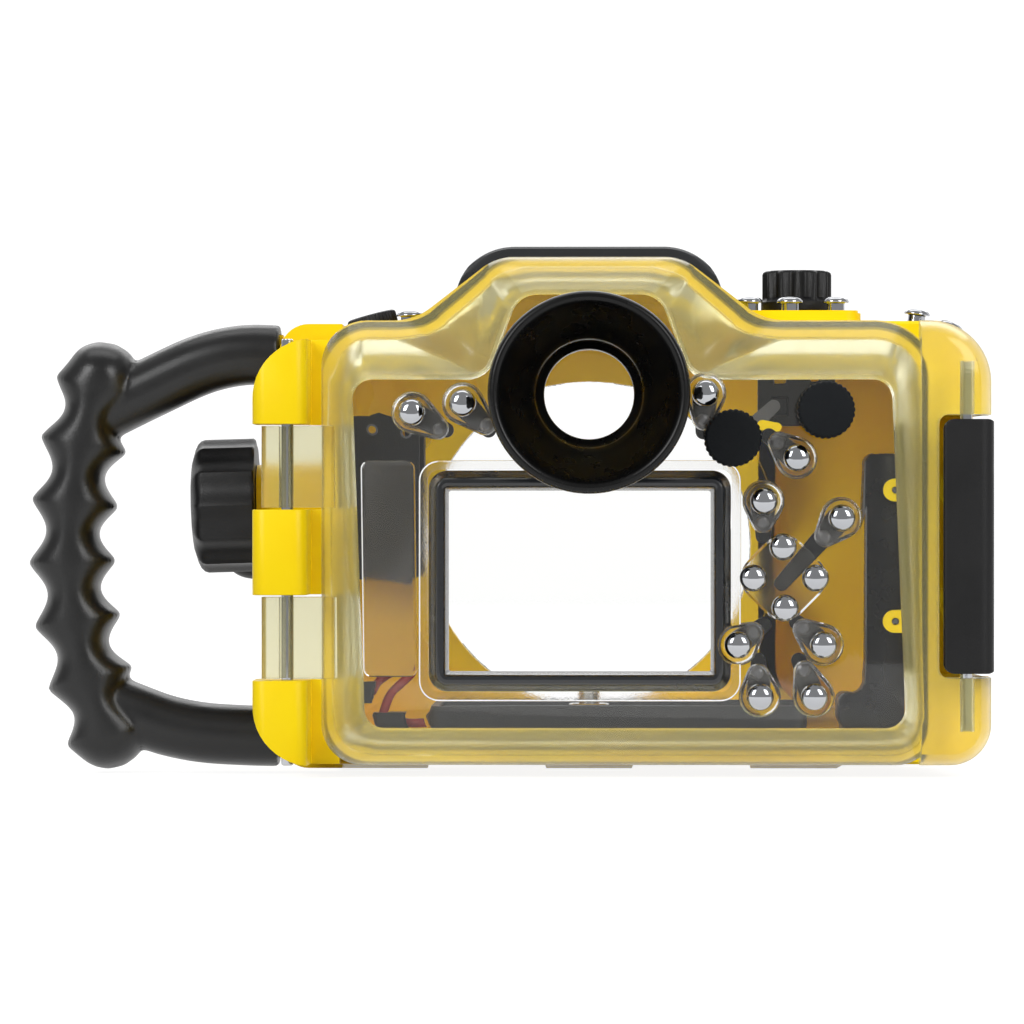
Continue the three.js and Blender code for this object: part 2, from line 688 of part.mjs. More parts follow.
// The case's outside: a rim, then walls that draw in towards a rounded front
function caseOutside() {
  const rounding = upTo(ARC_STEPS + 1).map((step) => {
    const angle = step * Math.PI / 2 / ARC_STEPS;
    const depth = frontFace - CASE_EDGE * (1 - Math.sin(angle));
    return ringAt(inset(outerCorners, CASE_DRAFT + CASE_EDGE * (1 - Math.cos(angle))), depth);
  });
  return skin([
    ringAt(flangeCorners, GAP),
    ringAt(flangeCorners, GAP + CASE_RIM),
    ringAt(outerCorners, GAP + CASE_RIM + CASE_STEP),
    ...rounding,
  ]);
}

// Room for the camera's hand grip, a bulge at the right of the front
const gripCorners = rectangle(
  [GRIP_LEFT, BODY_RIGHT - GRIP_MARGIN],
  [BODY_FLOOR + GRIP_MARGIN, BODY_TOP - GRIP_MARGIN],
  SHOULDER_RADIUS,
);

const gripRoom = () => slab(
  inset(gripCorners, CASE_WALL),
  POCKET_DEPTH + CASE_WALL,
  frontFace + GRIP_RISE - CASE_WALL,
  0,
  GRIP_EDGE - CASE_WALL,
);

const onPortAxis = (shape) => shape.translate(0, 0, PORT_HEIGHT);
const gripBulge = () => cut(
  slab(gripCorners, frontFace - CASE_EDGE - CASE_WALL, frontFace + GRIP_RISE, 0, GRIP_EDGE),
  onPortAxis(pin(PORT_STEP_RADIUS + RING_MARGIN, bossFace, frontFace + GRIP_RISE + OVERRUN, PORT_SIDES)),
);

// The cavity that holds the camera, open to the rear, with the port's step and bore
function caseRoom() {
  const inner = frontFace - CASE_WALL;
  const main = skin([
    ringAt(cavityCorners, -OVERRUN),
    ringAt(cavityCorners, GAP + CASE_RIM),
    ringAt(inset(cavityCorners, CASE_DRAFT), inner - CASE_EDGE),
    ringAt(inset(cavityCorners, CASE_DRAFT + CASE_EDGE / 3), inner - CASE_EDGE / 3),
    ringAt(inset(cavityCorners, CASE_DRAFT + CASE_EDGE), inner),
  ]);
  return join(
    main,
    gripRoom(),
    onPortAxis(pin(PORT_STEP_RADIUS, inner - OVERRUN, bossFace - PORT_LEDGE, PORT_SIDES)),
    onPortAxis(pin(PORT_RADIUS, inner - OVERRUN, bossFace + OVERRUN, PORT_SIDES)),
  );
}

const portBoss = () => onPortAxis(turned([
  [0, frontFace - CASE_EDGE],
  [PORT_BOSS_RADIUS, frontFace - CASE_EDGE],
  [PORT_BOSS_RADIUS, bossFace - GAP * 4],
  [PORT_BOSS_RADIUS - GAP * 4, bossFace],
  [0, bossFace],
], PORT_SIDES));

// Pads that the housing stands on, either side of the lens axis and below it
function basePads() {
  const rear = (CASE_DEPTH - PAD_LENGTH) / 2;
  const root = BODY_FLOOR + CASE_WALL / 2;
  return [-PAD_SPREAD, 0, PAD_SPREAD].map((x) => {
    const plan = rectangle([x - PAD_WIDTH / 2, x + PAD_WIDTH / 2], [rear, rear + PAD_LENGTH], PAD_HEIGHT);
    return column(plan, 0, root);
  });
}

// The pocket beside the latch, cut from the rear into the right side
const pocketCorners = rectangle(
  [POCKET_X, BODY_RIGHT + POCKET_RADIUS * 2],
  [POCKET_LOW, POCKET_HIGH],
  POCKET_RADIUS,
);
const latchPocket = () => slab(pocketCorners, -OVERRUN, POCKET_DEPTH);

// Two lugs on the pocket's wall, which the latch hook catches
const pocketMiddle = (POCKET_LOW + POCKET_HIGH) / 2;
const catchLugs = () => [-1, 1].map((way) => {
  const middle = pocketMiddle + way * LUG_SPREAD;
  return block(
    [POCKET_X - SUNK, POCKET_X + LUG_REACH],
    [LUG_START, LUG_START + LUG_THICKNESS],
    [middle - LUG_HEIGHT / 2, middle + LUG_HEIGHT / 2],
  );
});

// The raised platform that carries the top knob and three buttons
const platformTop = BODY_TOP + PLATFORM_RISE;
const shellTop = BODY_TOP - CASE_STEP;
const platform = () => column(
  rectangle([PLATFORM_LEFT, PLATFORM_RIGHT], [PLATFORM_REAR, PLATFORM_FRONT], PLATFORM_RADIUS),
  shellTop - CASE_WALL,
  platformTop,
);
const topButtonX = TOP_BUTTON_X_SHARES.map(
  (share) => PLATFORM_LEFT + share * (PLATFORM_RIGHT - PLATFORM_LEFT),
);
const shaftDepth = SEAL_LAND + CASE_STEP + OVERRUN;

// A straight bore down through the top, at a place and with a radius
const topBore = (x, y, radius) => upright(pin(radius + GAP, -shaftDepth - CASE_WALL, OVERRUN))
  .translate(x, y, platformTop);

// The frames of the two tilted shoulder controls: Z points out of the body
function shoulderFrame(x, y, z, tilt) {
  const frame = new THREE.Group();
  frame.position.set(x, y, z);
  frame.rotation.y = tilt;
  frame.updateMatrix();
  return frame;
}
const shoulderCentre = { x: BODY_RIGHT - SHOULDER_RADIUS, z: BODY_TOP - SHOULDER_RADIUS };
const shoulderReach = SHOULDER_RADIUS - CASE_STEP;
const shoulder = shoulderFrame(
  shoulderCentre.x + Math.sin(SHOULDER_TILT) * shoulderReach,
  SHOULDER_Y,
  shoulderCentre.z + Math.cos(SHOULDER_TILT) * shoulderReach,
  SHOULDER_TILT,
);
const shutter = shoulderFrame(SHUTTER_X, SHUTTER_Y, shellTop + SUNK, SHUTTER_TILT);
const release = shoulderFrame(-RELEASE_X, RELEASE_Y, shellTop + SUNK, -RELEASE_TILT);
const releaseButtonSeat = shellTop + SEAT_RISE;

// Small flat seats under the shoulder controls
const seatUnder = (frame, radius) => upright(
  pin(radius, -CASE_WALL, 0, DISC_SIDES),
).applyMatrix4(frame.matrix);
const shoulderSeats = () => [
  seatUnder(shutter, BUSH_RADIUS + GAP),
  seatUnder(release, RELEASE_RADIUS - SEAT_RISE),
  upright(pin(CAP_RADIUS, -CASE_WALL, 0)).translate(-RELEASE_BUTTON_X, RELEASE_BUTTON_Y, releaseButtonSeat),
];

// Their bores: blind ones for the tilted controls, a through one for the small release button
const blindDepth = STEM_TAIL + CLIP_THICKNESS + STROKE + GAP * 3;
const blindBore = (frame, depth) => upright(
  pin(STEM_RADIUS + GAP, -depth, OVERRUN),
).applyMatrix4(frame.matrix);
const shoulderBores = () => [
  blindBore(shutter, blindDepth),
  blindBore(shoulder, blindDepth),
  blindBore(release, STEM_TAIL + GAP),
  topBore(-RELEASE_BUTTON_X, RELEASE_BUTTON_Y, STEM_RADIUS),
];

// Tongues at the left that the handle's arms are bolted to
function handleBrackets() {
  return [ARM_HIGH, ARM_LOW].map((height) => {
    const depth = [HANDLE_Y - ARM_HALF_DEPTH, HANDLE_Y + ARM_HALF_DEPTH];
    const seat = block(
      [-ARM_END + GAP, -BODY_LEFT + CASE_WALL],
      depth,
      [height - ARM_HALF_HEIGHT, height + ARM_HALF_HEIGHT],
    );
    const tongue = block(
      [-ARM_END - TONGUE_LENGTH, -ARM_END + SUNK + GAP],
      [HANDLE_Y - TONGUE_THICKNESS / 2, HANDLE_Y + TONGUE_THICKNESS / 2],
      [height - TONGUE_HALF_HEIGHT, height + TONGUE_HALF_HEIGHT],
    );
    return cut(join(seat, tongue), boltHole(height));
  });
}

const boltX = -ARM_END - TONGUE_LENGTH / 2;
const boltHole = (height) => pin(BOLT_RADIUS + GAP, HANDLE_Y - ARM_HALF_DEPTH, HANDLE_Y + ARM_HALF_DEPTH)
  .translate(boltX, 0, height);

// The frame of the side knob, on the leaning left wall, with X along its shaft
const side = new THREE.Group();
side.position.set(-BODY_LEFT, SIDE_KNOB_Y, SIDE_KNOB_HEIGHT);
side.rotation.y = -SIDE_DRAFT;
side.updateMatrix();
const onSideShaft = (shape) => sideways(shape).applyMatrix4(side.matrix);
const sideKnobSeat = SIDE_KNOB_END - SIDE_KNOB_LENGTH;
const sideBoss = () => onSideShaft(pin(SIDE_BOSS_RADIUS, GAP - sideKnobSeat, CASE_WALL, DISC_SIDES));
const sideBore = () => onSideShaft(pin(SHAFT_RADIUS + GAP, -SIDE_KNOB_END, SEAL_LAND + CASE_WALL + OVERRUN));

// The lens port's release has its own boss and blind bore, near the front of the left wall
const releaseSeat = PORT_RELEASE_END - PORT_RELEASE_DOME - PORT_RELEASE_SKIRT - PORT_RELEASE_STROKE;
const atPortRelease = (shape) => sideways(shape).translate(-BODY_LEFT, PORT_RELEASE_Y, PORT_RELEASE_HEIGHT);
const portReleaseBoss = () => atPortRelease(pin(PORT_RELEASE_BOSS, GAP - releaseSeat, CASE_WALL, DISC_SIDES));
const portReleaseBore = () => atPortRelease(pin(
  STEM_RADIUS + GAP,
  -releaseSeat - OVERRUN,
  PORT_RELEASE_DEPTH + PORT_RELEASE_STROKE + GAP - releaseSeat,
));

// How far the cavity has drawn in at a depth, and its ceiling there
const draftStart = GAP + CASE_RIM;
const draftEnd = frontFace - CASE_WALL - CASE_EDGE;
const draftAt = (y) => CASE_DRAFT * (y - draftStart) / (draftEnd - draftStart);
const ceilingAt = (y) => BODY_TOP - SEAL_LAND - draftAt(y);

// Ribs on the cavity's floor that the camera tray and the moisture sensor rest on
const cavityFloor = BODY_FLOOR + SEAL_LAND;
const trayUnderside = cavityFloor + CASE_DRAFT + GAP;
const trayRibs = () => RIB_PLACES.map((x) => block(
  [x - RIB_WIDTH / 2, x + RIB_WIDTH / 2],
  [TRAY_REAR, TRAY_FRONT],
  [cavityFloor - SUNK, trayUnderside - GAP],
));

const sealMiddle = SEAL_LAND / 2;
const sealGroove = () => hoop(coverCorners, [
  [sealMiddle - SEAL_RADIUS - GAP, -OVERRUN],
  [sealMiddle + SEAL_RADIUS + GAP, -OVERRUN],
  [sealMiddle + SEAL_RADIUS + GAP, 2 * (SEAL_RADIUS + GAP)],
  [sealMiddle - SEAL_RADIUS - GAP, 2 * (SEAL_RADIUS + GAP)],
]);

const mainSeal = () => hoop(coverCorners, upTo(SEAL_SIDES).map((side) => {
  const angle = (side + 0.5) * 2 * Math.PI / SEAL_SIDES;
  return [sealMiddle + SEAL_RADIUS * Math.cos(angle), GAP + SEAL_RADIUS * (1 + Math.sin(angle))];
}));

function frontCase() {
  const outside = join(
    caseOutside(),
    gripBulge(),
    portBoss(),
    platform(),
    knuckles(),
    sideBoss(),
    portReleaseBoss(),
    ...shoulderSeats(),
    ...basePads(),
    ...handleBrackets(),
  );
  const shell = cut(
    outside,
    caseRoom(),
    latchPocket(),
    sealGroove(),
    sideBore(),
    hingeBore(),
    portReleaseBore(),
    topBore(TOP_KNOB_X, TOP_KNOB_Y, SHAFT_RADIUS),
    ...shoulderBores(),
    ...topButtonX.map((x) => topBore(x, TOP_BUTTON_Y, STEM_RADIUS)),
  );
  return join(shell, ...catchLugs(), ...trayRibs());
}

// Places on the rear door, from shares of the window or of the button field beside the monitor
const windowPlace = ([across, up]) => ({
  x: across * WINDOW_WIDTH - WINDOW_LEFT,
  z: WINDOW_FLOOR + up * WINDOW_HEIGHT,
});
const fieldPlace = ([across, up]) => ({
  x: across * FIELD_WIDTH + FIELD_LEFT,
  z: WINDOW_FLOOR + up * WINDOW_HEIGHT,
});
const windowFace = -COVER_DEPTH;
const windowInside = COVER_WALL - COVER_DEPTH;

// The outline round two circles of different size, such as a teardrop
function hull(from, to, fromRadius, toRadius, steps = ARC_STEPS + 1) {
  const heading = Math.atan2(to.z - from.z, to.x - from.x);
  const length = Math.hypot(to.x - from.x, to.z - from.z);
  const spread = Math.acos((fromRadius - toRadius) / length);
  const arc = (centre, radius, start, sweep) => {
    const points = [];
    for (let step = 0; step <= steps; step += 1) {
      const angle = heading + start + sweep * step / steps;
      points.push(
        new THREE.Vector2(centre.x + radius * Math.cos(angle), centre.z + radius * Math.sin(angle)),
      );
    }
    return points;
  };
  return [
    ...arc(from, fromRadius, spread, 2 * (Math.PI - spread)),
    ...arc(to, toRadius, -spread, 2 * spread),
  ];
}

const lifted = (outline, from, to) => skin(
  [from, to].map((y) => outline.map((p) => new THREE.Vector3(p.x, y, p.y))),
);

// Sloping walls between the flange and the flat window, hollow from the front
function coverShell() {
  const outside = skin([
    ringAt(coverCorners, 0),
    ringAt(coverCorners, -COVER_FLANGE),
    ringAt(inset(windowCorners, -WINDOW_EDGE), windowFace + WINDOW_EDGE),
    ringAt(inset(windowCorners, -WINDOW_EDGE * 0.3), windowFace + WINDOW_EDGE * 0.3),
    ringAt(windowCorners, windowFace),
  ]);
  const inside = skin([
    ringAt(inset(coverCorners, SEAL_LAND), OVERRUN),
    ringAt(inset(coverCorners, SEAL_LAND), -COVER_FLANGE / 2),
    ringAt(inset(windowCorners, COVER_WALL / 4), windowInside - WINDOW_EDGE),
    ringAt(inset(windowCorners, COVER_WALL / 4 + WINDOW_EDGE), windowInside),
  ]);
  return { outside, inside };
}

// Ears at the right that carry the latch, tapering like the walls
function ears() {
  const whole = skin([
    ringAt(flangeCorners, 0),
    ringAt(flangeCorners, -COVER_FLANGE),
    ringAt(inset(flangeCorners, COVER_FLANGE), -EAR_THICKNESS),
  ]);
  const kept = common(whole, block(
    [POCKET_X - COVER_FLANGE, BODY_RIGHT + OVERRUN],
    [-EAR_THICKNESS - OVERRUN, OVERRUN],
    [0, BODY_TOP + OVERRUN],
  ));
  const recess = slab(pocketCorners, -EAR_THICKNESS - OVERRUN, OVERRUN);
  return cut(kept, recess);
}

const latchPinBore = () => upright(pin(
  LATCH_PIN_RADIUS + GAP,
  POCKET_LOW - LATCH_PIN_IN_EAR - GAP,
  POCKET_HIGH + LATCH_PIN_IN_EAR + GAP,
)).translate(LATCH_PIN_X, -LATCH_PIN_DEPTH, 0);

// Snap hooks that clip over the hinge pin from the front, open to the rear
function snapHooks() {
  const plan = rectangle([-SNAP_LEFT, SNAP_RIGHT], [-SNAP_HALF_DEPTH, SNAP_HALF_DEPTH], SNAP_RADIUS);
  const mouth = HINGE_PIN_RADIUS + GAP;
  return [1, 3].map((segment) => {
    const low = hingeZ(segment) + HINGE_PLAY;
    const high = hingeZ(segment + 1) - HINGE_PLAY;
    return atHinge(cut(
      column(plan, low, high),
      upright(pin(mouth, low - OVERRUN, high + OVERRUN)),
      block([-mouth, mouth], [-SNAP_HALF_DEPTH - OVERRUN, 0], [low - OVERRUN, high + OVERRUN]),
    ));
  });
}

const placeButtons = (shares, place) => shares.map(({ cap, screw, tip }) => ({
  cap: place(cap),
  screw: screw && place(screw),
  tip: tip && place(tip),
}));
const rearButtons = [
  ...placeButtons(LEFT_BUTTON_SHARES, windowPlace),
  ...placeButtons(RIGHT_BUTTON_SHARES, fieldPlace),
];
const rearKnobs = REAR_KNOB_SHARES.map(fieldPlace);
const buttonsWithArms = rearButtons.filter(({ tip }) => tip);

const bossFaceY = windowFace - BOSS_RISE;
const buttonBosses = () => buttonsWithArms.map(({ cap, screw }) => lifted(
  hull(cap, screw, BOSS_RADIUS, BOSS_END_RADIUS),
  bossFaceY,
  windowFace + SUNK,
));

// One raised diamond under the four-way buttons
function paddleBoss() {
  const { x, z } = fieldPlace(PADDLE_SHARES);
  const corners = [
    { x: x - PADDLE_HALF, z, r: PADDLE_RADIUS },
    { x, z: z - PADDLE_HALF, r: PADDLE_RADIUS },
    { x: x + PADDLE_HALF, z, r: PADDLE_RADIUS },
    { x, z: z + PADDLE_HALF, r: PADDLE_RADIUS },
  ];
  return slab(corners, bossFaceY, windowFace + SUNK);
}

// A bare raised plate beside the monitor
function sidePlate() {
  const low = windowPlace([0, PLATE_LOW_SHARE]);
  const high = windowPlace([0, PLATE_HIGH_SHARE]);
  const left = low.x + WINDOW_LEAN / 2;
  return slab([
    { x: left + WINDOW_LEAN / 2, z: low.z, r: PLATE_RADIUS },
    { x: left + WINDOW_LEAN / 2 + PLATE_WIDTH, z: low.z, r: PLATE_RADIUS },
    { x: left + PLATE_WIDTH, z: high.z, r: PLATE_RADIUS },
    { x: left, z: high.z, r: PLATE_RADIUS },
  ], windowFace - PLATE_RISE, windowFace + SUNK, PLATE_RISE / 2);
}

const monitorOpening = rectangle(
  [MONITOR_X - MONITOR_WIDTH / 2, MONITOR_X + MONITOR_WIDTH / 2],
  [MONITOR_LOW, MONITOR_TOP],
  MONITOR_RADIUS,
);

// The clear step that the monitor frame sits in
const monitorStep = () => hoop(inset(monitorOpening, -MONITOR_BORDER - MONITOR_FLANGE), [
  [0, windowFace + SUNK],
  [MONITOR_FLANGE_RISE / 3, windowFace - MONITOR_FLANGE_RISE],
  [MONITOR_FLANGE - GAP, windowFace - MONITOR_FLANGE_RISE],
  [MONITOR_FLANGE - GAP, windowFace + SUNK],
], HOOD_STEPS);

// The black hood, notched where a button boss runs into it
function monitorFrame() {
  const seat = windowFace - GAP;
  const crest = windowFace - MONITOR_RISE;
  const border = inset(monitorOpening, -MONITOR_BORDER);
  const hood = hoop(border, [
    [0, seat],
    [0, seat - MONITOR_FLANGE_RISE],
    [MONITOR_BORDER * 0.35, crest + MONITOR_RISE * 0.18],
    [MONITOR_BORDER * 0.5, crest],
    [MONITOR_BORDER * 0.72, crest],
    [MONITOR_BORDER * 0.86, crest + MONITOR_RISE * 0.18],
    [MONITOR_BORDER, seat],
  ], HOOD_STEPS);
  const bosses = buttonsWithArms.map(({ cap, screw }) => lifted(
    hull(cap, screw, BOSS_RADIUS + GAP, BOSS_END_RADIUS + GAP),
    crest - OVERRUN,
    windowFace + OVERRUN,
  ));
  return cut(hood, ...bosses);
}

const atPlace = (shape, { x, z }) => shape.translate(x, 0, z);
const eye = { x: 0, z: EYE_HEIGHT };

function rearCover() {
  const { outside, inside } = coverShell();
  const plain = cut(join(outside, ears(), ...snapHooks()), inside, latchPinBore());
  const raised = join(plain, sidePlate(), paddleBoss(), monitorStep(), ...buttonBosses());
  const through = [bossFaceY - OVERRUN, windowInside + OVERRUN];
  return cut(
    raised,
    ...rearButtons.map(({ cap }) => atPlace(pin(STEM_RADIUS + GAP, ...through), cap)),
    ...rearKnobs.map((place) => atPlace(pin(SHAFT_RADIUS + GAP, ...through), place)),
    atPlace(pin(EYE_GLASS_RADIUS + GAP, ...through, WHEEL_SIDES), eye),
  );
}

// Rubber cup: a neck, a wide brim and a bowl that narrows to the eyepiece hole
function eyecup() {
  const seat = -GAP;
  const rim = -EYECUP_DEPTH;
  return turned([
    [EYE_HOLE_RADIUS, seat],
    [EYECUP_NECK_RADIUS, seat],
    [EYECUP_NECK_RADIUS, -MONITOR_RISE - OVERRUN * 2],
    [EYECUP_RADIUS - EYECUP_LIP, -MONITOR_RISE - OVERRUN * 2 - EYECUP_BRIM],
    [EYECUP_RADIUS, rim + EYECUP_BRIM],
    [EYECUP_RADIUS, rim + EYECUP_LIP],
    [EYECUP_RADIUS - EYECUP_LIP / 2, rim],
    [EYECUP_RADIUS - EYECUP_LIP * 1.5, rim],
    [EYECUP_RADIUS - EYECUP_LIP * 2, rim + EYECUP_LIP],
    [EYECUP_RADIUS - EYECUP_LIP * 3, rim + EYECUP_BRIM],
    [EYECUP_BOWL_RADIUS + EYECUP_LIP, rim + EYECUP_DEPTH * 0.55],
    [EYECUP_BOWL_RADIUS, rim + EYECUP_DEPTH * 0.5],
    [EYE_HOLE_RADIUS, rim + EYECUP_DEPTH * 0.56],
    [EYE_HOLE_RADIUS, seat],
  ], WHEEL_SIDES);
}

const eyepieceGlass = () => pin(EYE_GLASS_RADIUS, COVER_WALL - EYE_GLASS_THICKNESS, COVER_WALL, WHEEL_SIDES);

// A push button: domed cap and stem, with a clip that keeps it in its wall unless the bore is blind
function pushButton({ rise, wall, capHeight = CAP_HEIGHT, clipped = true }) {
  const under = -rise - STROKE;
  const crown = under - capHeight;
  const clipFace = wall + GAP;
  const end = clipFace + CLIP_THICKNESS;
  const clip = [[STEM_RADIUS, clipFace], [CLIP_RADIUS, clipFace], [CLIP_RADIUS, end]];
  const tail = clipped ? clip : [[STEM_RADIUS, end]];
  return turned([
    [0, crown],
    [CAP_RADIUS - CAP_EDGE * 1.6, crown],
    [CAP_RADIUS, crown + CAP_EDGE],
    [CAP_RADIUS, under],
    [STEM_RADIUS, under],
    ...tail,
    [0, end],
  ], CAP_SIDES);
}

// A black arm that carries the push across to the camera's own button
function buttonArm({ cap, tip }) {
  const rear = windowInside + GAP * 2 + CLIP_THICKNESS;
  const bar = lifted(hull(cap, tip, ARM_RADIUS, ARM_TIP_RADIUS, ARC_STEPS), rear, rear + ARM_THICKNESS);
  const foot = atPlace(
    pin(ARM_TIP_RADIUS * 0.9, rear + ARM_THICKNESS - SUNK, rear + ARM_THICKNESS + ARM_FOOT),
    tip,
  );
  return join(bar, foot);
}

// A finely scalloped disc on a shaft
function scallopedOutline(radius, depth, count, perScallop) {
  const points = [];
  for (let i = 0; i < count * perScallop; i += 1) {
    const angle = i * 2 * Math.PI / (count * perScallop);
    const dip = (i % perScallop) === 0 ? depth : 0;
    points.push(new THREE.Vector2((radius - dip) * Math.cos(angle), (radius - dip) * Math.sin(angle)));
  }
  return points;
}

function rearKnob() {
  const lift = -BOSS_RISE - GAP;
  const outline = scallopedOutline(REAR_KNOB_RADIUS, CAP_EDGE * 0.7, REAR_KNOB_SCALLOPS, 2);
  const head = lifted(outline, lift - REAR_KNOB_HEIGHT, lift);
  const inside = COVER_WALL + GAP;
  const shaft = pin(SHAFT_RADIUS, lift - SUNK, inside + SUNK);
  const wheel = pin(REAR_KNOB_WHEEL_RADIUS, inside, inside + REAR_KNOB_WHEEL, DISC_SIDES);
  return join(head, shaft, wheel);
}

// Latch: a lever that turns on two pins in the door's ears, and a hook that hangs in the lever
const leverLow = POCKET_LOW + LEVER_PLAY;
const leverHigh = POCKET_HIGH - LEVER_PLAY;
const leverRight = BODY_RIGHT + LEVER_OUTSTAND;
const leverPlan = [
  { x: LEVER_LEFT, z: -LEVER_REAR, r: LEVER_OUTSTAND },
  { x: leverRight - LEVER_LEAN, z: -LEVER_REAR - LEVER_LEAN, r: LEVER_RADIUS },
  { x: leverRight, z: LEVER_REACH, r: LEVER_OUTSTAND },
  { x: leverRight - LEVER_THICKNESS, z: LEVER_REACH, r: LEVER_OUTSTAND },
  { x: leverRight - LEVER_THICKNESS - LEVER_LEAN, z: LEVER_THICKNESS - LEVER_REAR, r: LEVER_RADIUS / 2 },
  { x: LEVER_LEFT, z: LEVER_THICKNESS - LEVER_REAR, r: LEVER_OUTSTAND },
];

// Two cheeks join the lever to its pins and to the hook
const cheeks = () => [leverLow, leverHigh - CHEEK_THICKNESS].map((low) => block(
  [LATCH_PIN_X - CHEEK_HALF, leverRight - LEVER_THICKNESS + SUNK],
  [LEVER_THICKNESS - LEVER_REAR - SUNK, HOOK_PIVOT_Y + CHEEK_HALF],
  [low, low + CHEEK_THICKNESS],
));

const throughLever = (radius, x, y) => upright(pin(radius + GAP, leverLow - OVERRUN, leverHigh + OVERRUN))
  .translate(x, y, 0);

const latchLever = () => cut(
  join(column(leverPlan, leverLow, leverHigh), ...cheeks()),
  throughLever(LATCH_PIN_RADIUS, LATCH_PIN_X, -LATCH_PIN_DEPTH),
  throughLever(HOOK_PIN_RADIUS, HOOK_PIVOT_X, HOOK_PIVOT_Y),
);

// The hook: a rod between the cheeks, a plate, and a lip in front of the case's lugs
function latchHook() {
  const height = [leverLow + CHEEK_THICKNESS + GAP, leverHigh - CHEEK_THICKNESS - GAP];
  const right = HOOK_PIVOT_X + HOOK_PLATE / 2;
  const end = HOOK_LIP_START + HOOK_LIP;
  return join(
    upright(pin(HOOK_PIN_RADIUS, leverLow + GAP, leverHigh - GAP)).translate(HOOK_PIVOT_X, HOOK_PIVOT_Y, 0),
    block([right - HOOK_PLATE, right], [HOOK_PIVOT_Y, end], height),
    block([POCKET_X + LUG_REACH + GAP, right], [HOOK_LIP_START, end], height),
  );
}

const latchPinLength = LATCH_PIN_IN_EAR + LEVER_PLAY + CHEEK_THICKNESS;
const latchPin = () => upright(pin(LATCH_PIN_RADIUS, 0, latchPinLength));

// Controls on the top and the sides. Those on top are drawn about Z, with their caps up.
const pressedDown = (shape) => shape.rotateX(-Math.PI / 2);

const ceiling = BODY_TOP - SEAL_LAND - CASE_DRAFT;

// Rings of a fluted grip: the flutes fade out where the depth is nought
function flutedRing(radius, flutes, depth, y) {
  const points = [];
  const perFlute = 3;
  for (let i = 0; i < flutes * perFlute; i += 1) {
    const angle = i * 2 * Math.PI / (flutes * perFlute);
    const dip = depth * (1 - Math.cos(angle * flutes)) / 2;
    points.push(new THREE.Vector3((radius - dip) * Math.cos(angle), y, (radius - dip) * Math.sin(angle)));
  }
  return points;
}

// The knob on the platform: a round skirt and a fluted grip, on a shaft with a stop disc inside
function topKnob() {
  const lift = -GAP;
  const skirt = lift - TOP_KNOB_SKIRT;
  const crown = lift - TOP_KNOB_HEIGHT;
  const inner = platformTop - ceiling + GAP;
  const ring = (shrink, depth, y) => flutedRing(TOP_KNOB_RADIUS - shrink, TOP_KNOB_FLUTES, depth, y);
  const head = skin([
    ring(0, 0, lift),
    ring(0, 0, skirt),
    ring(0, FLUTE_DEPTH, skirt - CAP_EDGE),
    ring(CAP_EDGE / 2, FLUTE_DEPTH, crown + CAP_EDGE / 2),
    ring(CAP_EDGE, FLUTE_DEPTH, crown),
  ]);
  const shaft = pin(SHAFT_RADIUS, lift - SUNK, inner + SUNK);
  const disc = pin(REAR_KNOB_WHEEL_RADIUS, inner, inner + CLIP_THICKNESS * 2, DISC_SIDES);
  return pressedDown(join(head, shaft, disc));
}

const topButton = () => pressedDown(pushButton({
  rise: 0,
  wall: platformTop - ceiling,
  capHeight: TOP_CAP_HEIGHT,
}));

// A button in a blind bore
const shoulderButton = (rise) => pressedDown(pushButton({
  rise,
  wall: STEM_TAIL,
  capHeight: TOP_CAP_HEIGHT,
  clipped: false,
}));

const releaseButton = () => pressedDown(pushButton({
  rise: 0,
  wall: releaseButtonSeat - ceiling,
  capHeight: TOP_CAP_HEIGHT,
}));

const shutterBush = () => pressedDown(turned([
  [STEM_RADIUS + GAP, -GAP],
  [BUSH_RADIUS, -GAP],
  [BUSH_RADIUS, -BUSH_HEIGHT + CAP_EDGE],
  [BUSH_RADIUS - CAP_EDGE, -BUSH_HEIGHT],
  [STEM_RADIUS + GAP, -BUSH_HEIGHT],
  [STEM_RADIUS + GAP, -GAP],
], DISC_SIDES));

// The black disc on the left shoulder turns on a shaft in a blind bore
function leftRelease() {
  const head = turned([
    [0, -RELEASE_HEIGHT],
    [RELEASE_RADIUS - CAP_EDGE, -RELEASE_HEIGHT],
    [RELEASE_RADIUS, -RELEASE_HEIGHT + CAP_EDGE],
    [RELEASE_RADIUS, -GAP],
    [0, -GAP],
  ], WHEEL_SIDES);
  return pressedDown(join(head, pin(STEM_RADIUS, -GAP - SUNK, STEM_TAIL)));
}

// The big knob at the left, along its shaft, with the wheel inside that turns the camera's own dial
const sideGrip = (shrink, depth, y) => flutedRing(SIDE_KNOB_RADIUS - shrink, SIDE_KNOB_FLUTES, depth, y);

function sideKnob() {
  const head = skin([
    sideGrip(0, FLUTE_DEPTH, -sideKnobSeat),
    sideGrip(0, FLUTE_DEPTH, SIDE_KNOB_DOME - SIDE_KNOB_END),
    sideGrip(SIDE_KNOB_DOME * 1.4, FLUTE_DEPTH, SIDE_KNOB_DOME * 0.45 - SIDE_KNOB_END),
    sideGrip(SIDE_KNOB_DOME * 3.6, 0, -SIDE_KNOB_END),
  ]);
  const shaft = pin(SHAFT_RADIUS, -sideKnobSeat - SUNK, GEAR_START + GEAR_WIDTH + OVERRUN);
  return onSideShaft(join(head, shaft));
}

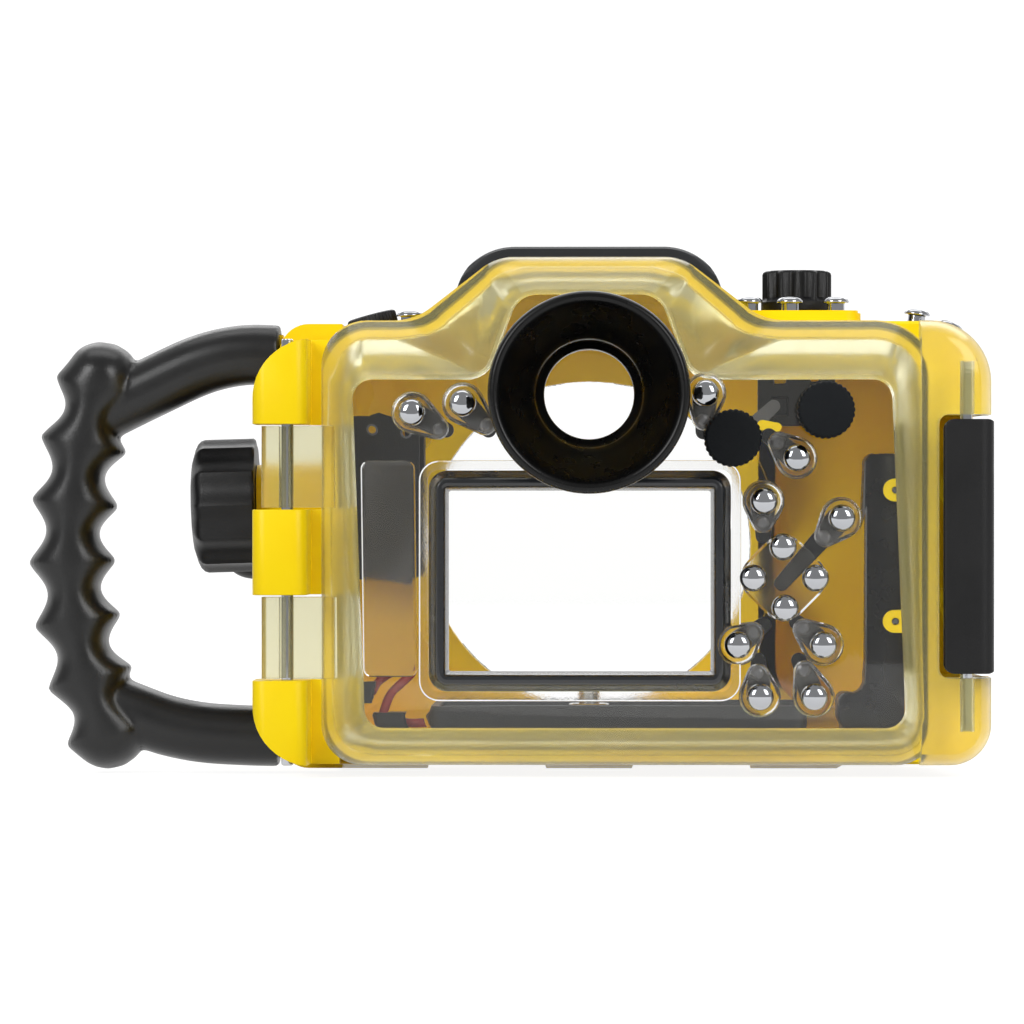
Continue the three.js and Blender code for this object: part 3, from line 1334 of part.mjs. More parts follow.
function driveGear() {
  const outline = [];
  for (let i = 0; i < GEAR_TEETH * 4; i += 1) {
    const angle = i * Math.PI / (GEAR_TEETH * 2);
    const radius = i % 4 < 2 ? GEAR_RADIUS : GEAR_RADIUS - GEAR_TOOTH;
    outline.push(new THREE.Vector2(radius * Math.cos(angle), radius * Math.sin(angle)));
  }
  const wheel = lifted(outline, GEAR_START, GEAR_START + GEAR_WIDTH);
  return onSideShaft(
    cut(wheel, pin(SHAFT_RADIUS + GAP, GEAR_START - OVERRUN, GEAR_START + GEAR_WIDTH + OVERRUN)),
  );
}

// The lens port's release: a domed button in its boss
function portRelease() {
  const dome = upTo(ARC_STEPS + 1).map((step) => {
    const angle = step * Math.PI / 2 / ARC_STEPS;
    return [
      PORT_RELEASE_RADIUS * Math.sin(angle),
      PORT_RELEASE_DOME * (1 - Math.cos(angle)) - PORT_RELEASE_END,
    ];
  });
  const under = -releaseSeat - PORT_RELEASE_STROKE;
  const tail = PORT_RELEASE_DEPTH - releaseSeat;
  return sideways(turned([
    ...dome,
    [PORT_RELEASE_RADIUS, under],
    [STEM_RADIUS, under],
    [STEM_RADIUS, tail],
    [0, tail],
  ], DISC_SIDES));
}

// The lens port's ring, slotted inside for a bayonet
function portRing() {
  const back = bossFace + GAP;
  const face = back + RING_HEIGHT;
  const ring = turned([
    [PORT_RADIUS, back],
    [PORT_STEP_RADIUS, back],
    [PORT_STEP_RADIUS, face - RING_EDGE],
    [PORT_STEP_RADIUS - RING_EDGE, face],
    [PORT_RADIUS, face],
    [PORT_RADIUS, back],
  ], PORT_SIDES);
  const slots = [];
  for (let i = 0; i < BAYONET_SLOTS; i += 1) {
    const slot = block(
      [-BAYONET_WIDTH / 2, BAYONET_WIDTH / 2],
      [back - OVERRUN, face + OVERRUN],
      [PORT_RADIUS - OVERRUN, PORT_RADIUS + BAYONET_DEPTH],
    );
    slots.push(slot.rotateY(i * 2 * Math.PI / BAYONET_SLOTS));
  }
  return onPortAxis(cut(ring, ...slots));
}

// The black saddle over the hump
function humpShroud() {
  const start = GAP + CASE_RIM + CASE_STEP + GAP;
  const around = slab(inset(outerCorners, -GAP - SHROUD_THICKNESS), start, start + SHROUD_LENGTH);
  const within = slab(inset(outerCorners, -GAP), start - OVERRUN, start + SHROUD_LENGTH + OVERRUN);
  const kept = block(
    [-SHROUD_HALF, SHROUD_HALF],
    [0, start + SHROUD_LENGTH + OVERRUN],
    [BODY_TOP, HUMP_TOP * 2],
  );
  return common(cut(around, within), kept);
}

// Handle: a grip with finger ridges and two arms, lofted along lines in one plane
const handlePoint = ([out, up]) => new THREE.Vector3(
  -ARM_END - out * GRIP_REACH,
  HANDLE_Y,
  up * HANDLE_HEIGHT,
);

// A rounded section, half a width across the line and half a depth along Y
function handleRing(middle, across, width, depth) {
  const points = [];
  for (let i = 0; i < GRIP_SIDES; i += 1) {
    const angle = (i + 0.5) * 2 * Math.PI / GRIP_SIDES;
    const [u, v] = [Math.cos(angle), Math.sin(angle)].map(
      (value) => Math.sign(value) * Math.abs(value) ** 0.85,
    );
    points.push(middle.clone().addScaledVector(across, u * width).add(new THREE.Vector3(0, v * depth, 0)));
  }
  return points;
}

function alongHandle(shares, count, sizeAt) {
  const line = new THREE.CatmullRomCurve3(shares.map(handlePoint));
  const length = line.getLength();
  const rings = [];
  for (let i = 0; i <= count; i += 1) {
    const along = line.getTangentAt(i / count);
    const across = new THREE.Vector3(-along.z, 0, along.x);
    const { width, depth } = sizeAt(length * i / count, length);
    rings.push(handleRing(line.getPointAt(i / count), across, width, depth));
  }
  return skin(rings);
}

// Half width and depth of the grip at a distance from its upper end
function gripSize(distance, length) {
  const valley = Math.abs(Math.sin(Math.PI * (distance - GRIP_FIRST_RIDGE) / GRIP_PITCH));
  const width = GRIP_RIDGE - (GRIP_RIDGE - GRIP_VALLEY) * valley;
  const end = Math.min(distance, length - distance, GRIP_END) / GRIP_END;
  const rounding = Math.max(Math.sqrt(1 - (1 - end) ** 2), 0.3);
  return { width: width * rounding, depth: GRIP_HALF_DEPTH * rounding };
}

const armSize = () => ({ width: ARM_HALF_HEIGHT, depth: ARM_HALF_DEPTH });

const tongueRoom = (height) => block(
  [-ARM_END - TONGUE_LENGTH - GAP, -ARM_END + OVERRUN],
  [HANDLE_Y - TONGUE_THICKNESS / 2 - GAP, HANDLE_Y + TONGUE_THICKNESS / 2 + GAP],
  [height - TONGUE_HALF_HEIGHT - GAP, height + TONGUE_HALF_HEIGHT + GAP],
);

// Each bolt goes in from the front, with its head sunk in the arm
const boltTip = HANDLE_Y - ARM_HALF_DEPTH + CASE_WALL;
const boltFace = HANDLE_Y + ARM_HALF_DEPTH - CAP_EDGE;
const boltRoom = (height) => join(
  pin(BOLT_RADIUS + GAP, boltTip - GAP, boltFace),
  pin(BOLT_HEAD_RADIUS + GAP, boltFace - BOLT_HEAD_HEIGHT - GAP, boltFace + OVERRUN, DISC_SIDES),
).translate(boltX, 0, height);

const handleBolt = () => join(
  pin(BOLT_RADIUS, boltTip, boltFace - SUNK),
  pin(BOLT_HEAD_RADIUS, boltFace - BOLT_HEAD_HEIGHT, boltFace, DISC_SIDES),
);

const handle = () => cut(
  join(
    alongHandle(GRIP_LINE_SHARES, GRIP_RINGS, gripSize),
    alongHandle(HIGH_ARM_LINE_SHARES, ARM_RINGS, armSize),
    alongHandle(LOW_ARM_LINE_SHARES, ARM_RINGS, armSize),
  ),
  ...[ARM_HIGH, ARM_LOW].flatMap((height) => [tongueRoom(height), boltRoom(height)]),
);

// Inside the case: the camera's tray with raised edges, and its screw
function cameraTray() {
  const plan = (margin) => rectangle(
    [-TRAY_LEFT + margin, TRAY_RIGHT - margin],
    [TRAY_REAR + margin, TRAY_FRONT - margin],
    TRAY_RADIUS,
  );
  const top = trayUnderside + TRAY_THICKNESS;
  return cut(
    column(plan(0), trayUnderside, top + TRAY_LIP),
    column(plan(TRAY_LIP), top, top + TRAY_LIP + OVERRUN),
    upright(pin(TRAY_SCREW_RADIUS + GAP, trayUnderside - OVERRUN, top + OVERRUN)).translate(
      0,
      TRAY_SCREW_Y,
      0,
    ),
  );
}

const trayScrew = () => upright(join(
  pin(TRAY_SCREW_RADIUS, trayUnderside, trayUnderside + TRAY_SCREW_HEIGHT),
  pin(
    TRAY_SCREW_HEAD,
    trayUnderside + TRAY_THICKNESS + GAP,
    trayUnderside + TRAY_THICKNESS + TRAY_LIP,
    DISC_SIDES,
  ),
));

const gripPad = () => slab([
  { x: PAD_FOOT_LEFT, z: trayUnderside, r: PAD_EDGE },
  { x: PAD_RIGHT, z: trayUnderside, r: PAD_EDGE },
  { x: PAD_RIGHT, z: PAD_TOP, r: PAD_EDGE },
  { x: PAD_LEFT, z: PAD_TOP, r: PAD_EDGE },
  { x: PAD_LEFT, z: trayUnderside + PAD_FOOT_HEIGHT, r: PAD_EDGE },
  { x: PAD_FOOT_LEFT, z: trayUnderside + PAD_FOOT_HEIGHT, r: PAD_EDGE },
], PAD_REAR, PAD_FRONT);

// The bracket beside the drive wheel, against the case's front wall
const driveBracket = () => slab(
  rectangle([-BRACKET_LEFT, BRACKET_WIDTH - BRACKET_LEFT], [BRACKET_LOW, BRACKET_HIGH], PAD_EDGE),
  frontFace - CASE_WALL - GAP - BRACKET_DEPTH,
  frontFace - CASE_WALL - GAP,
);

// The black bracket that hangs between the top controls and the camera
function controlLinkage() {
  const depth = [LINKAGE_REAR, LINKAGE_REAR + LINKAGE_DEPTH];
  const top = ceilingAt(depth[1]) - GAP;
  const bars = LINKAGE_BARS.map((x) => block(x, depth, [LINKAGE_HIGH - SUNK, top]));
  return join(block([LINKAGE_BARS[0][0], LINKAGE_BARS[2][1]], depth, [LINKAGE_LOW, LINKAGE_HIGH]), ...bars);
}

// Moisture sensor at the lower left, its wall plug and the wire between them
const leakPad = () => block(
  [-SENSOR_LEFT, -SENSOR_RIGHT],
  [SENSOR_REAR, SENSOR_REAR + SENSOR_LENGTH],
  [trayUnderside, trayUnderside + SENSOR_HEIGHT],
);
const leakPlug = () => block(
  [-PLUG_LEFT, PLUG_WIDTH - PLUG_LEFT],
  [SENSOR_REAR, SENSOR_REAR + PLUG_HEIGHT],
  [PLUG_LOW, PLUG_LOW + PLUG_HEIGHT],
);

function leakWire() {
  const low = trayUnderside + SENSOR_HEIGHT - SUNK;
  const line = new THREE.CatmullRomCurve3([
    new THREE.Vector3(WIRE_RADIUS * 2 - SENSOR_LEFT, SENSOR_REAR + PLUG_HEIGHT / 2, low),
    new THREE.Vector3(WIRE_RADIUS * 3 - SENSOR_LEFT, SENSOR_REAR + PLUG_HEIGHT / 2, low + PLUG_HEIGHT),
    new THREE.Vector3(-SENSOR_RIGHT, SENSOR_REAR + PLUG_HEIGHT / 2, low + PLUG_HEIGHT * 2),
    new THREE.Vector3(-SENSOR_RIGHT - WIRE_RADIUS, SENSOR_REAR + PLUG_HEIGHT, low + PLUG_HEIGHT * 2.3),
    new THREE.Vector3(-SENSOR_LEFT, SENSOR_REAR + PLUG_HEIGHT * 1.2, low + PLUG_HEIGHT * 1.6),
    new THREE.Vector3(
      PLUG_WIDTH - PLUG_LEFT - SUNK,
      SENSOR_REAR + PLUG_HEIGHT / 2,
      PLUG_LOW + PLUG_HEIGHT / 2,
    ),
  ]);
  const section = new THREE.Shape();
  section.absarc(0, 0, WIRE_RADIUS, 0, 2 * Math.PI);
  return new THREE.ExtrudeGeometry(
    section,
    { extrudePath: line, steps: WIRE_STEPS, curveSegments: ARC_STEPS },
  );
}

const leakSensor = () => join(leakPad(), leakPlug(), leakWire());

// All sizes above are measured from the door's joint; the origin moves to the middle base pad
const housing = new THREE.Group();
housing.name = 'underwater_camera_housing';
housing.position.y = -(CASE_DEPTH / 2);

// Adds a mesh at a place in millimetres
function mount(mesh, x = 0, y = 0, z = 0) {
  mesh.position.set(x, y, z);
  housing.add(mesh);
  return mesh;
}

// Adds a mesh in one of the tilted frames
function mountTilted(mesh, { position, rotation }) {
  mesh.rotation.copy(rotation);
  return mount(mesh, position.x, position.y, position.z);
}

// Front assembly
mount(piece('front_case', frontCase(), plastic(YELLOW)));
mount(piece('main_o_ring', mainSeal(), plastic(RUBBER, 0.6)));
mount(piece('hinge_pin', hingePin(), metal(STEEL)), -HINGE_X, -HINGE_BEHIND);
mount(piece('port_ring', portRing(), plastic(BLACK, 0.4)));
mount(piece('hump_shroud', humpShroud(), plastic(BLACK, 0.35)));
mount(piece('handle', handle(), plastic(BLACK, 0.35)));
mount(piece('handle_bolt_upper', handleBolt(), metal(STEEL)), boltX, 0, ARM_HIGH);
mount(piece('handle_bolt_lower', handleBolt(), metal(STEEL)), boltX, 0, ARM_LOW);
mountTilted(piece('shutter_bush', shutterBush(), plastic(BLACK)), shutter);
mount(piece('camera_tray', cameraTray(), plastic(BLACK, 0.5)));
mount(piece('tray_screw', trayScrew(), metal(STEEL)), 0, TRAY_SCREW_Y);
mount(piece('grip_pad', gripPad(), plastic(RUBBER, 0.7)));
mount(piece('drive_bracket', driveBracket(), plastic(BLACK)));
mount(piece('control_linkage', controlLinkage(), plastic(BLACK)));
mount(piece('leak_sensor', leakSensor(), plastic(RED, 0.5)));

// Rear door
mount(piece('rear_cover', rearCover(), clear()));
mount(piece('monitor_frame', monitorFrame(), plastic(BLACK, 0.2)));
mount(piece('eyecup', eyecup(), plastic(RUBBER, 0.5)), eye.x, windowFace, eye.z);
mount(piece('eyepiece_glass', eyepieceGlass(), clear()), eye.x, windowFace, eye.z);
mount(
  piece('latch_pin_upper', latchPin(), metal(STEEL)),
  LATCH_PIN_X,
  -LATCH_PIN_DEPTH,
  leverHigh - CHEEK_THICKNESS,
);
mount(
  piece('latch_pin_lower', latchPin(), metal(STEEL)),
  LATCH_PIN_X,
  -LATCH_PIN_DEPTH,
  POCKET_LOW - LATCH_PIN_IN_EAR,
);
mount(piece('latch_lever', latchLever(), plastic(BLACK, 0.4)));
mount(piece('latch_hook', latchHook(), metal(STEEL)));
rearButtons.forEach(({ cap, tip }, i) => {
  const shape = pushButton({ rise: BOSS_RISE, wall: COVER_WALL });
  mount(piece(`rear_button_${i + 1}`, shape, metal(CHROME, 0.08)), cap.x, windowFace, cap.z);
  if (tip) {
    mount(piece(`button_arm_${i + 1}`, buttonArm({ cap, tip }), plastic(BLACK)));
  }
});
rearKnobs.forEach((place, i) => {
  const name = ['rear_knob_inner', 'rear_knob_outer'][i];
  mount(piece(name, rearKnob(), plastic(BLACK, 0.6)), place.x, windowFace, place.z);
});

// Controls on the top and at the left
mount(piece('top_knob', topKnob(), plastic(BLACK)), TOP_KNOB_X, TOP_KNOB_Y, platformTop);
topButtonX.forEach((x, i) => {
  mount(piece(`top_button_${i + 1}`, topButton(), metal(CHROME, 0.08)), x, TOP_BUTTON_Y, platformTop);
});
mountTilted(piece('shutter_button', shoulderButton(BUSH_HEIGHT), metal(CHROME, 0.08)), shutter);
mountTilted(piece('shoulder_button', shoulderButton(0), metal(CHROME, 0.08)), shoulder);
mountTilted(piece('left_release', leftRelease(), plastic(BLACK)), release);
const releasePlace = [-RELEASE_BUTTON_X, RELEASE_BUTTON_Y, releaseButtonSeat];
mount(piece('left_release_button', releaseButton(), metal(CHROME, 0.08)), ...releasePlace);
mount(piece('side_knob', sideKnob(), plastic(BLACK)));
mount(piece('drive_gear', driveGear(), plastic(BLACK, 0.6)));
mount(piece('port_release', portRelease(), plastic(BLACK)), -BODY_LEFT, PORT_RELEASE_Y, PORT_RELEASE_HEIGHT);

export default housing;
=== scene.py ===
# Underwater camera housing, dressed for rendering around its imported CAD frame.
# Sizes are in millimetres from the door's joint plane, as in the CAD; meshes are written in metres.
import math

import bmesh
import bpy
from mathutils import Matrix, Vector


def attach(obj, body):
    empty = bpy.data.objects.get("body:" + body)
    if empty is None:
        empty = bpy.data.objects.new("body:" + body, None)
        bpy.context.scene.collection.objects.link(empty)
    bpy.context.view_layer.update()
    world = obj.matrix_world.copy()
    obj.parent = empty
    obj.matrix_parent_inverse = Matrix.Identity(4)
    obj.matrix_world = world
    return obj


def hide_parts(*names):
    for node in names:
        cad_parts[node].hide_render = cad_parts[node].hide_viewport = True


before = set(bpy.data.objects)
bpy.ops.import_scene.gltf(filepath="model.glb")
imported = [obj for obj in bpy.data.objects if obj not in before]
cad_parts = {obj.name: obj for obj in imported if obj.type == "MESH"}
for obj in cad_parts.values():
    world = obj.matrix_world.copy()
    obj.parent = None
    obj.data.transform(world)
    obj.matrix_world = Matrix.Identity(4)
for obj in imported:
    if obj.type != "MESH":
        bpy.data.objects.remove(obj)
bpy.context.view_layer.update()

MM = 0.001
BASE_Y = 39.0  # the joint plane lies this far behind the origin
GAP = 0.3  # play between two pieces
SUNK = 0.6  # how far a joined shape reaches into the one that carries it
OVERRUN = 2.0  # how far a cutting shape reaches past the face it cuts

# Body
BODY_LEFT, BODY_RIGHT = 78.0, 117.0
BODY_FLOOR, BODY_TOP, BODY_CORNER = 4.0, 133.5, 18
HUMP_TOP, HUMP_CROWN, HUMP_FOOT = 152.0, 27.0, 51.0
CASE_DEPTH, CASE_WALL, CASE_RIM, CASE_STEP = 78.0, 5.0, 8.0, 1.6
CASE_DRAFT, CASE_EDGE, SEAL_LAND = 2.4, 9.0, 8.5
PORT_HEIGHT, PORT_RADIUS, PORT_STEP_RADIUS, PORT_BOSS_RADIUS = 67.8, 49.8, 58.0, 63.0
PORT_BOSS_RISE, PORT_LEDGE = 12.0, 8.0
FRONT_FACE = GAP + CASE_DEPTH
BOSS_FACE = FRONT_FACE + PORT_BOSS_RISE

# Door
COVER_DEPTH, COVER_WALL, COVER_FLANGE = 22.0, 4.0, 5.0
WINDOW_LEFT, WINDOW_RIGHT, WINDOW_LEAN = 66.6, 88.5, 1.6
WINDOW_FLOOR, WINDOW_TOP = 15.0, 116.3
WINDOW_EDGE = 2.0
EAR_THICKNESS = 15.5
POCKET_X, POCKET_LOW, POCKET_HIGH = 101.2, 29.5, 106.0
FACE_Y = -COVER_DEPTH
INNER_Y = COVER_WALL - COVER_DEPTH
BOSS_RISE = 2.0

# Hinge
HINGE_X, HINGE_BEHIND, HINGE_PIN_RADIUS = 87.7, 9.0, 1.75
HINGE_SEGMENT, HINGE_PLAY = 24.8, 0.6

# Controls and latch; a pair is a place seen from above, (x, y)
LATCH_PIVOT, LATCH_BORE, LATCH_PIN_REACH = (109.2, -11.5), 2.05, 15
HOOK_PIVOT, HOOK_BORE = (111.2, 1), 1.8
TOP_DIAL, RELEASE_BUTTON, TOP_BUTTON_Y = (62, 34), (-53, 18), 16
BOLT_X, BOLT_HOLE, EYE_Z = -98, 2.8, 111.4
CAP_RADIUS, STEM_RADIUS = 3.9, 2.6
STEM_HOLE, SPINDLE_HOLE, SPINDLE_RADIUS = 2.9, 3.3, 3.0


# ---- Outlines and solids ----

# An outline is a list of corners (x, z, radius); a shape is a list of points with a list of faces.


def inset(corners, distance):
    """The outline moved inwards, corner for corner."""
    moved = []
    for i, (x, z, r) in enumerate(corners):
        before, after = corners[i - 1], corners[(i + 1) % len(corners)]
        into = Vector((x - before[0], z - before[1])).normalized()
        out = Vector((after[0] - x, after[1] - z)).normalized()
        share = distance / (1 + into.dot(out))
        turn = into.x * out.y - into.y * out.x
        radius = r - distance * math.copysign(1, turn)
        moved.append((x - share * (into.y + out.y), z + share * (into.x + out.x), max(radius, r / 8)))
    return moved


def rounded(corners, steps):
    """Points of an outline with rounded corners, the same number for each corner."""
    points = []
    for i, (x, z, r) in enumerate(corners):
        here = Vector((x, z))
        back = Vector(corners[i - 1][:2]) - here
        ahead = Vector(corners[(i + 1) % len(corners)][:2]) - here
        half = back.angle(ahead) / 2
        tangent = min(r / math.tan(half), min(back.length, ahead.length) * 0.49)
        start = here + back.normalized() * tangent
        end = here + ahead.normalized() * tangent
        centre = here + (back.normalized() + ahead.normalized()).normalized() * (tangent / math.cos(half))
        first, last = start - centre, end - centre
        sweep = math.atan2(first.x * last.y - first.y * last.x, first.dot(last))
        for step in range(steps + 1):
            points.append(centre + Matrix.Rotation(sweep * step / steps, 2) @ first)
    return points


def ring(corners, y, steps=12):
    return [Vector((p.x, y, p.y)) for p in rounded(corners, steps)]


def skin(rings, looped=False):
    """Vertices and faces of a closed surface through rings of equal count."""
    count = len(rings[0])
    faces = []
    for band in range(len(rings) if looped else len(rings) - 1):
        low, high = band * count, ((band + 1) % len(rings)) * count
        faces += [(low + i, low + (i + 1) % count, high + (i + 1) % count, high + i) for i in range(count)]
    if not looped:
        faces.append(tuple(range(count)))
        faces.append(tuple(range(len(rings) * count - count, len(rings) * count)))
    return [p for r in rings for p in r], faces


def slab(corners, start, end, steps=12):
    """An outline drawn straight along Y."""
    return skin([ring(corners, start, steps), ring(corners, end, steps)])


def layered(corners, layers, steps=12):
    """A closed shape through an outline moved inwards at given depths: (distance inwards, y)."""
    return skin([ring(inset(corners, d), y, steps) for d, y in layers])


def hoop(corners, section, steps=12):
    """A closed section, given as (distance inwards, y), swept round an outline."""
    return skin([ring(inset(corners, d), y, steps) for d, y in section], looped=True)


def rectangle(x, z, r):
    return [(x[0], z[0], r), (x[1], z[0], r), (x[1], z[1], r), (x[0], z[1], r)]


def column(corners, low, high, steps=6):
    """An outline in X and Y, drawn straight up along Z."""
    return skin([[Vector((p.x, p.y, z)) for p in rounded(corners, steps)] for z in (low, high)])


def turned(profile, sides=48):
    """A body of revolution about Y. A profile that doesn't start on the axis is closed as a ring."""
    rings = []
    for radius, y in profile:
        rings.append([Vector((max(radius, 1e-4) * math.cos(a), y, max(radius, 1e-4) * math.sin(a)))
                      for a in (i * 2 * math.pi / sides for i in range(sides))])
    return skin(rings, looped=profile[0][0] > 0)


def pin(radius, start, end, sides=32):
    return turned([(0, start), (radius, start), (radius, end), (0, end)], sides)


def block(x, y, z):
    corners = [Vector((a, b, c)) for a in x for b in y for c in z]
    return corners, [(0, 1, 3, 2), (4, 6, 7, 5), (0, 4, 5, 1), (2, 3, 7, 6), (0, 2, 6, 4), (1, 5, 7, 3)]


def lifted(layers):
    """A closed shape through outlines at given depths."""
    return skin([[Vector((p.x, y, p.y)) for p in outline] for outline, y in layers])


def hull(start, end, start_radius, end_radius, steps=14):
    """The outline round two circles of different size."""
    heading = math.atan2(end[1] - start[1], end[0] - start[0])
    spread = math.acos((start_radius - end_radius) / math.dist(start, end))
    points = []
    for centre, radius, first, sweep in ((start, start_radius, spread, 2 * (math.pi - spread)),
                                         (end, end_radius, -spread, 2 * spread)):
        for step in range(steps + 1):
            turn = heading + first + sweep * step / steps
            points.append(Vector((centre[0] + radius * math.cos(turn), centre[1] + radius * math.sin(turn))))
    return points


UP = Matrix.Rotation(math.pi / 2, 4, "X")  # +Y to +Z
DOWN = Matrix.Rotation(-math.pi / 2, 4, "X")  # +Y to -Z
ALONG = Matrix.Rotation(-math.pi / 2, 4, "Z")  # +Y to +X


def moved(shape, matrix):
    return [matrix @ p for p in shape[0]], shape[1]


def shifted(shape, x=0.0, y=0.0, z=0.0):
    return moved(shape, Matrix.Translation((x, y, z)))


def at(place, shape):
    return shifted(shape, place[0], 0, place[1])


def standing(shape, x=0.0, y=0.0, z=0.0):
    """A shape drawn along +Y, turned upright and put in its place."""
    return shifted(moved(shape, UP), x, y, z)


# ---- Blender objects ----

def smooth(made, sharp=35.0):
    made.data.shade_smooth()
    made.data.set_sharp_from_angle(angle=math.radians(sharp))


def assembled(name, parts, materials=(), sharp=35.0, welded=False):
    """One object from shapes in millimetres, each with its own material's number."""
    points, faces, numbers = [], [], []
    for shape, number in parts:
        start = len(points)
        points += [(p.x * MM, (p.y - BASE_Y) * MM, p.z * MM) for p in shape[0]]
        faces += [tuple(start + i for i in face) for face in shape[1]]
        numbers += [number] * len(shape[1])
    mesh = bpy.data.meshes.new(name)
    mesh.from_pydata(points, [], faces)
    for material in materials:
        mesh.materials.append(material)
    for face, number in zip(mesh.polygons, numbers):
        face.material_index = number
    work = bmesh.new()
    work.from_mesh(mesh)
    if welded:
        bmesh.ops.remove_doubles(work, verts=work.verts, dist=1e-6)
    bmesh.ops.dissolve_degenerate(work, edges=work.edges, dist=1e-7)
    bmesh.ops.recalc_face_normals(work, faces=work.faces)
    work.to_mesh(mesh)
    work.free()
    made = bpy.data.objects.new(name, mesh)
    bpy.context.scene.collection.objects.link(made)
    smooth(made, sharp)
    return made


def piece(name, shape, sharp=35.0):
    """An object from one shape, smooth where its faces meet at less than the sharp angle."""
    return assembled(name, [(shape, 0)], sharp=sharp, welded=True)


def shape_of(made, x=0.0, y=0.0):
    """Takes an object back to a shape in millimetres, shifted by x and y."""
    points = [Vector((v.co.x / MM + x, v.co.y / MM + BASE_Y + y, v.co.z / MM)) for v in made.data.vertices]
    faces = [tuple(face.vertices) for face in made.data.polygons]
    bpy.data.objects.remove(made)
    return points, faces


def baked(made, sharp=35.0):
    """Applies an object's modifiers."""
    graph = bpy.context.evaluated_depsgraph_get()
    final = bpy.data.meshes.new_from_object(made.evaluated_get(graph))
    made.modifiers.clear()
    made.data = final
    smooth(made, sharp)
    return made


def worked(made, steps, sharp=35.0):
    """Joins, cuts or meets an object with shapes in turn: (shape, operation)."""
    tools = [piece("tool", shape) for shape, _ in steps]
    for tool, (_, operation) in zip(tools, steps):
        step = made.modifiers.new("step", "BOOLEAN")
        step.object, step.operation, step.solver = tool, operation, "MANIFOLD"
    baked(made, sharp)
    for tool in tools:
        bpy.data.objects.remove(tool)
    return made


def cut(made, shapes, sharp=35.0):
    return worked(made, [(shape, "DIFFERENCE") for shape in shapes], sharp)


def kept_within(made, shape, sharp=35.0):
    """Keeps the part of an object that lies inside a shape."""
    return worked(made, [(shape, "INTERSECT")], sharp)


def carved(name, shape, joined=(), removed=(), added=(), sharp=35.0):
    """A shape with others joined to it, then some cut from it, then more joined."""
    steps = [(other, operation) for shapes, operation in (
        (joined, "UNION"), (removed, "DIFFERENCE"), (added, "UNION")) for other in shapes]
    return worked(piece(name, shape), steps, sharp)


def softened(made, width, segments=2, angle=40.0):
    """Rounds an object's sharp edges."""
    soft = made.modifiers.new("edge", "BEVEL")
    soft.width, soft.segments = width * MM, segments
    soft.limit_method, soft.angle_limit = "ANGLE", math.radians(angle)
    soft.harden_normals = True
    soft.use_clamp_overlap = True
    return made


# ---- Finishes ----

def linear(red, green, blue):
    """An 8-bit screen colour as a linear one with alpha."""
    channels = ((c / 255 / 12.92) if c < 11 else ((c / 255 + 0.055) / 1.055) ** 2.4 for c in (red, green, blue))
    return (*channels, 1)


def effect(name, inputs, outputs):
    """A node group with named sockets, each given as (name, type, default)."""
    group = bpy.data.node_groups.new(name, "ShaderNodeTree")
    for socket, kind, value in inputs:
        made = group.interface.new_socket(socket, in_out="INPUT", socket_type="NodeSocket" + kind)
        made.default_value = value
    for socket, kind in outputs:
        group.interface.new_socket(socket, in_out="OUTPUT", socket_type="NodeSocket" + kind)
    return group, group.nodes.new("NodeGroupInput"), group.nodes.new("NodeGroupOutput")


def feed(tree, node, inputs):
    """Sets a node's inputs, given by name or number, to plain values or links them to outputs."""
    for socket, value in inputs.items():
        if isinstance(value, bpy.types.NodeSocket):
            tree.links.new(value, node.inputs[socket])
        else:
            node.inputs[socket].default_value = value


def add(tree, kind, inputs=None, **settings):
    node = tree.nodes.new(kind)
    for name, value in settings.items():
        setattr(node, name, value)
    feed(tree, node, inputs or {})
    return node


def combined(tree, operation, first, second):
    """One value worked out from two."""
    return add(tree, "ShaderNodeMath", {0: first, 1: second}, operation=operation).outputs[0]


def noise(tree, scale, detail=2.0, roughness=0.5):
    place = add(tree, "ShaderNodeTexCoord").outputs["Object"]
    return add(tree, "ShaderNodeTexNoise", {
        "Vector": place, "Scale": scale, "Detail": detail, "Roughness": roughness}).outputs["Fac"]


def span(tree, value, low, high, to_low, to_high):
    """Maps a value from one range to another, held at the ends."""
    return add(tree, "ShaderNodeMapRange", {
        "Value": value, "From Min": low, "From Max": high, "To Min": to_low, "To Max": to_high}).outputs["Result"]


def mould_grain():
    """The fine spark-eroded grain of a moulded face, with a slow ripple under it."""
    group, start, end = effect(
        "mould_grain",
        [("Grain Size", "Float", 1500.0), ("Grain", "Float", 0.5), ("Ripple", "Float", 0.5)],
        [("Height", "Float")],
    )
    fine = combined(group, "MULTIPLY", noise(group, start.outputs["Grain Size"], 3.0, 0.6), start.outputs["Grain"])
    slow = combined(group, "MULTIPLY", noise(group, 45.0), start.outputs["Ripple"])
    feed(group, end, {"Height": combined(group, "ADD", fine, slow)})
    return group


def handling():
    """Where hands have polished a surface or left a film: a roughness between two values."""
    group, start, end = effect(
        "handling",
        [("Polished", "Float", 0.3), ("Dull", "Float", 0.5), ("Patch Size", "Float", 60.0)],
        [("Roughness", "Float")],
    )
    patches = noise(group, start.outputs["Patch Size"], 4.0, 0.65)
    result = span(group, patches, 0.35, 0.65, start.outputs["Polished"], start.outputs["Dull"])
    feed(group, end, {"Roughness": result})
    return group


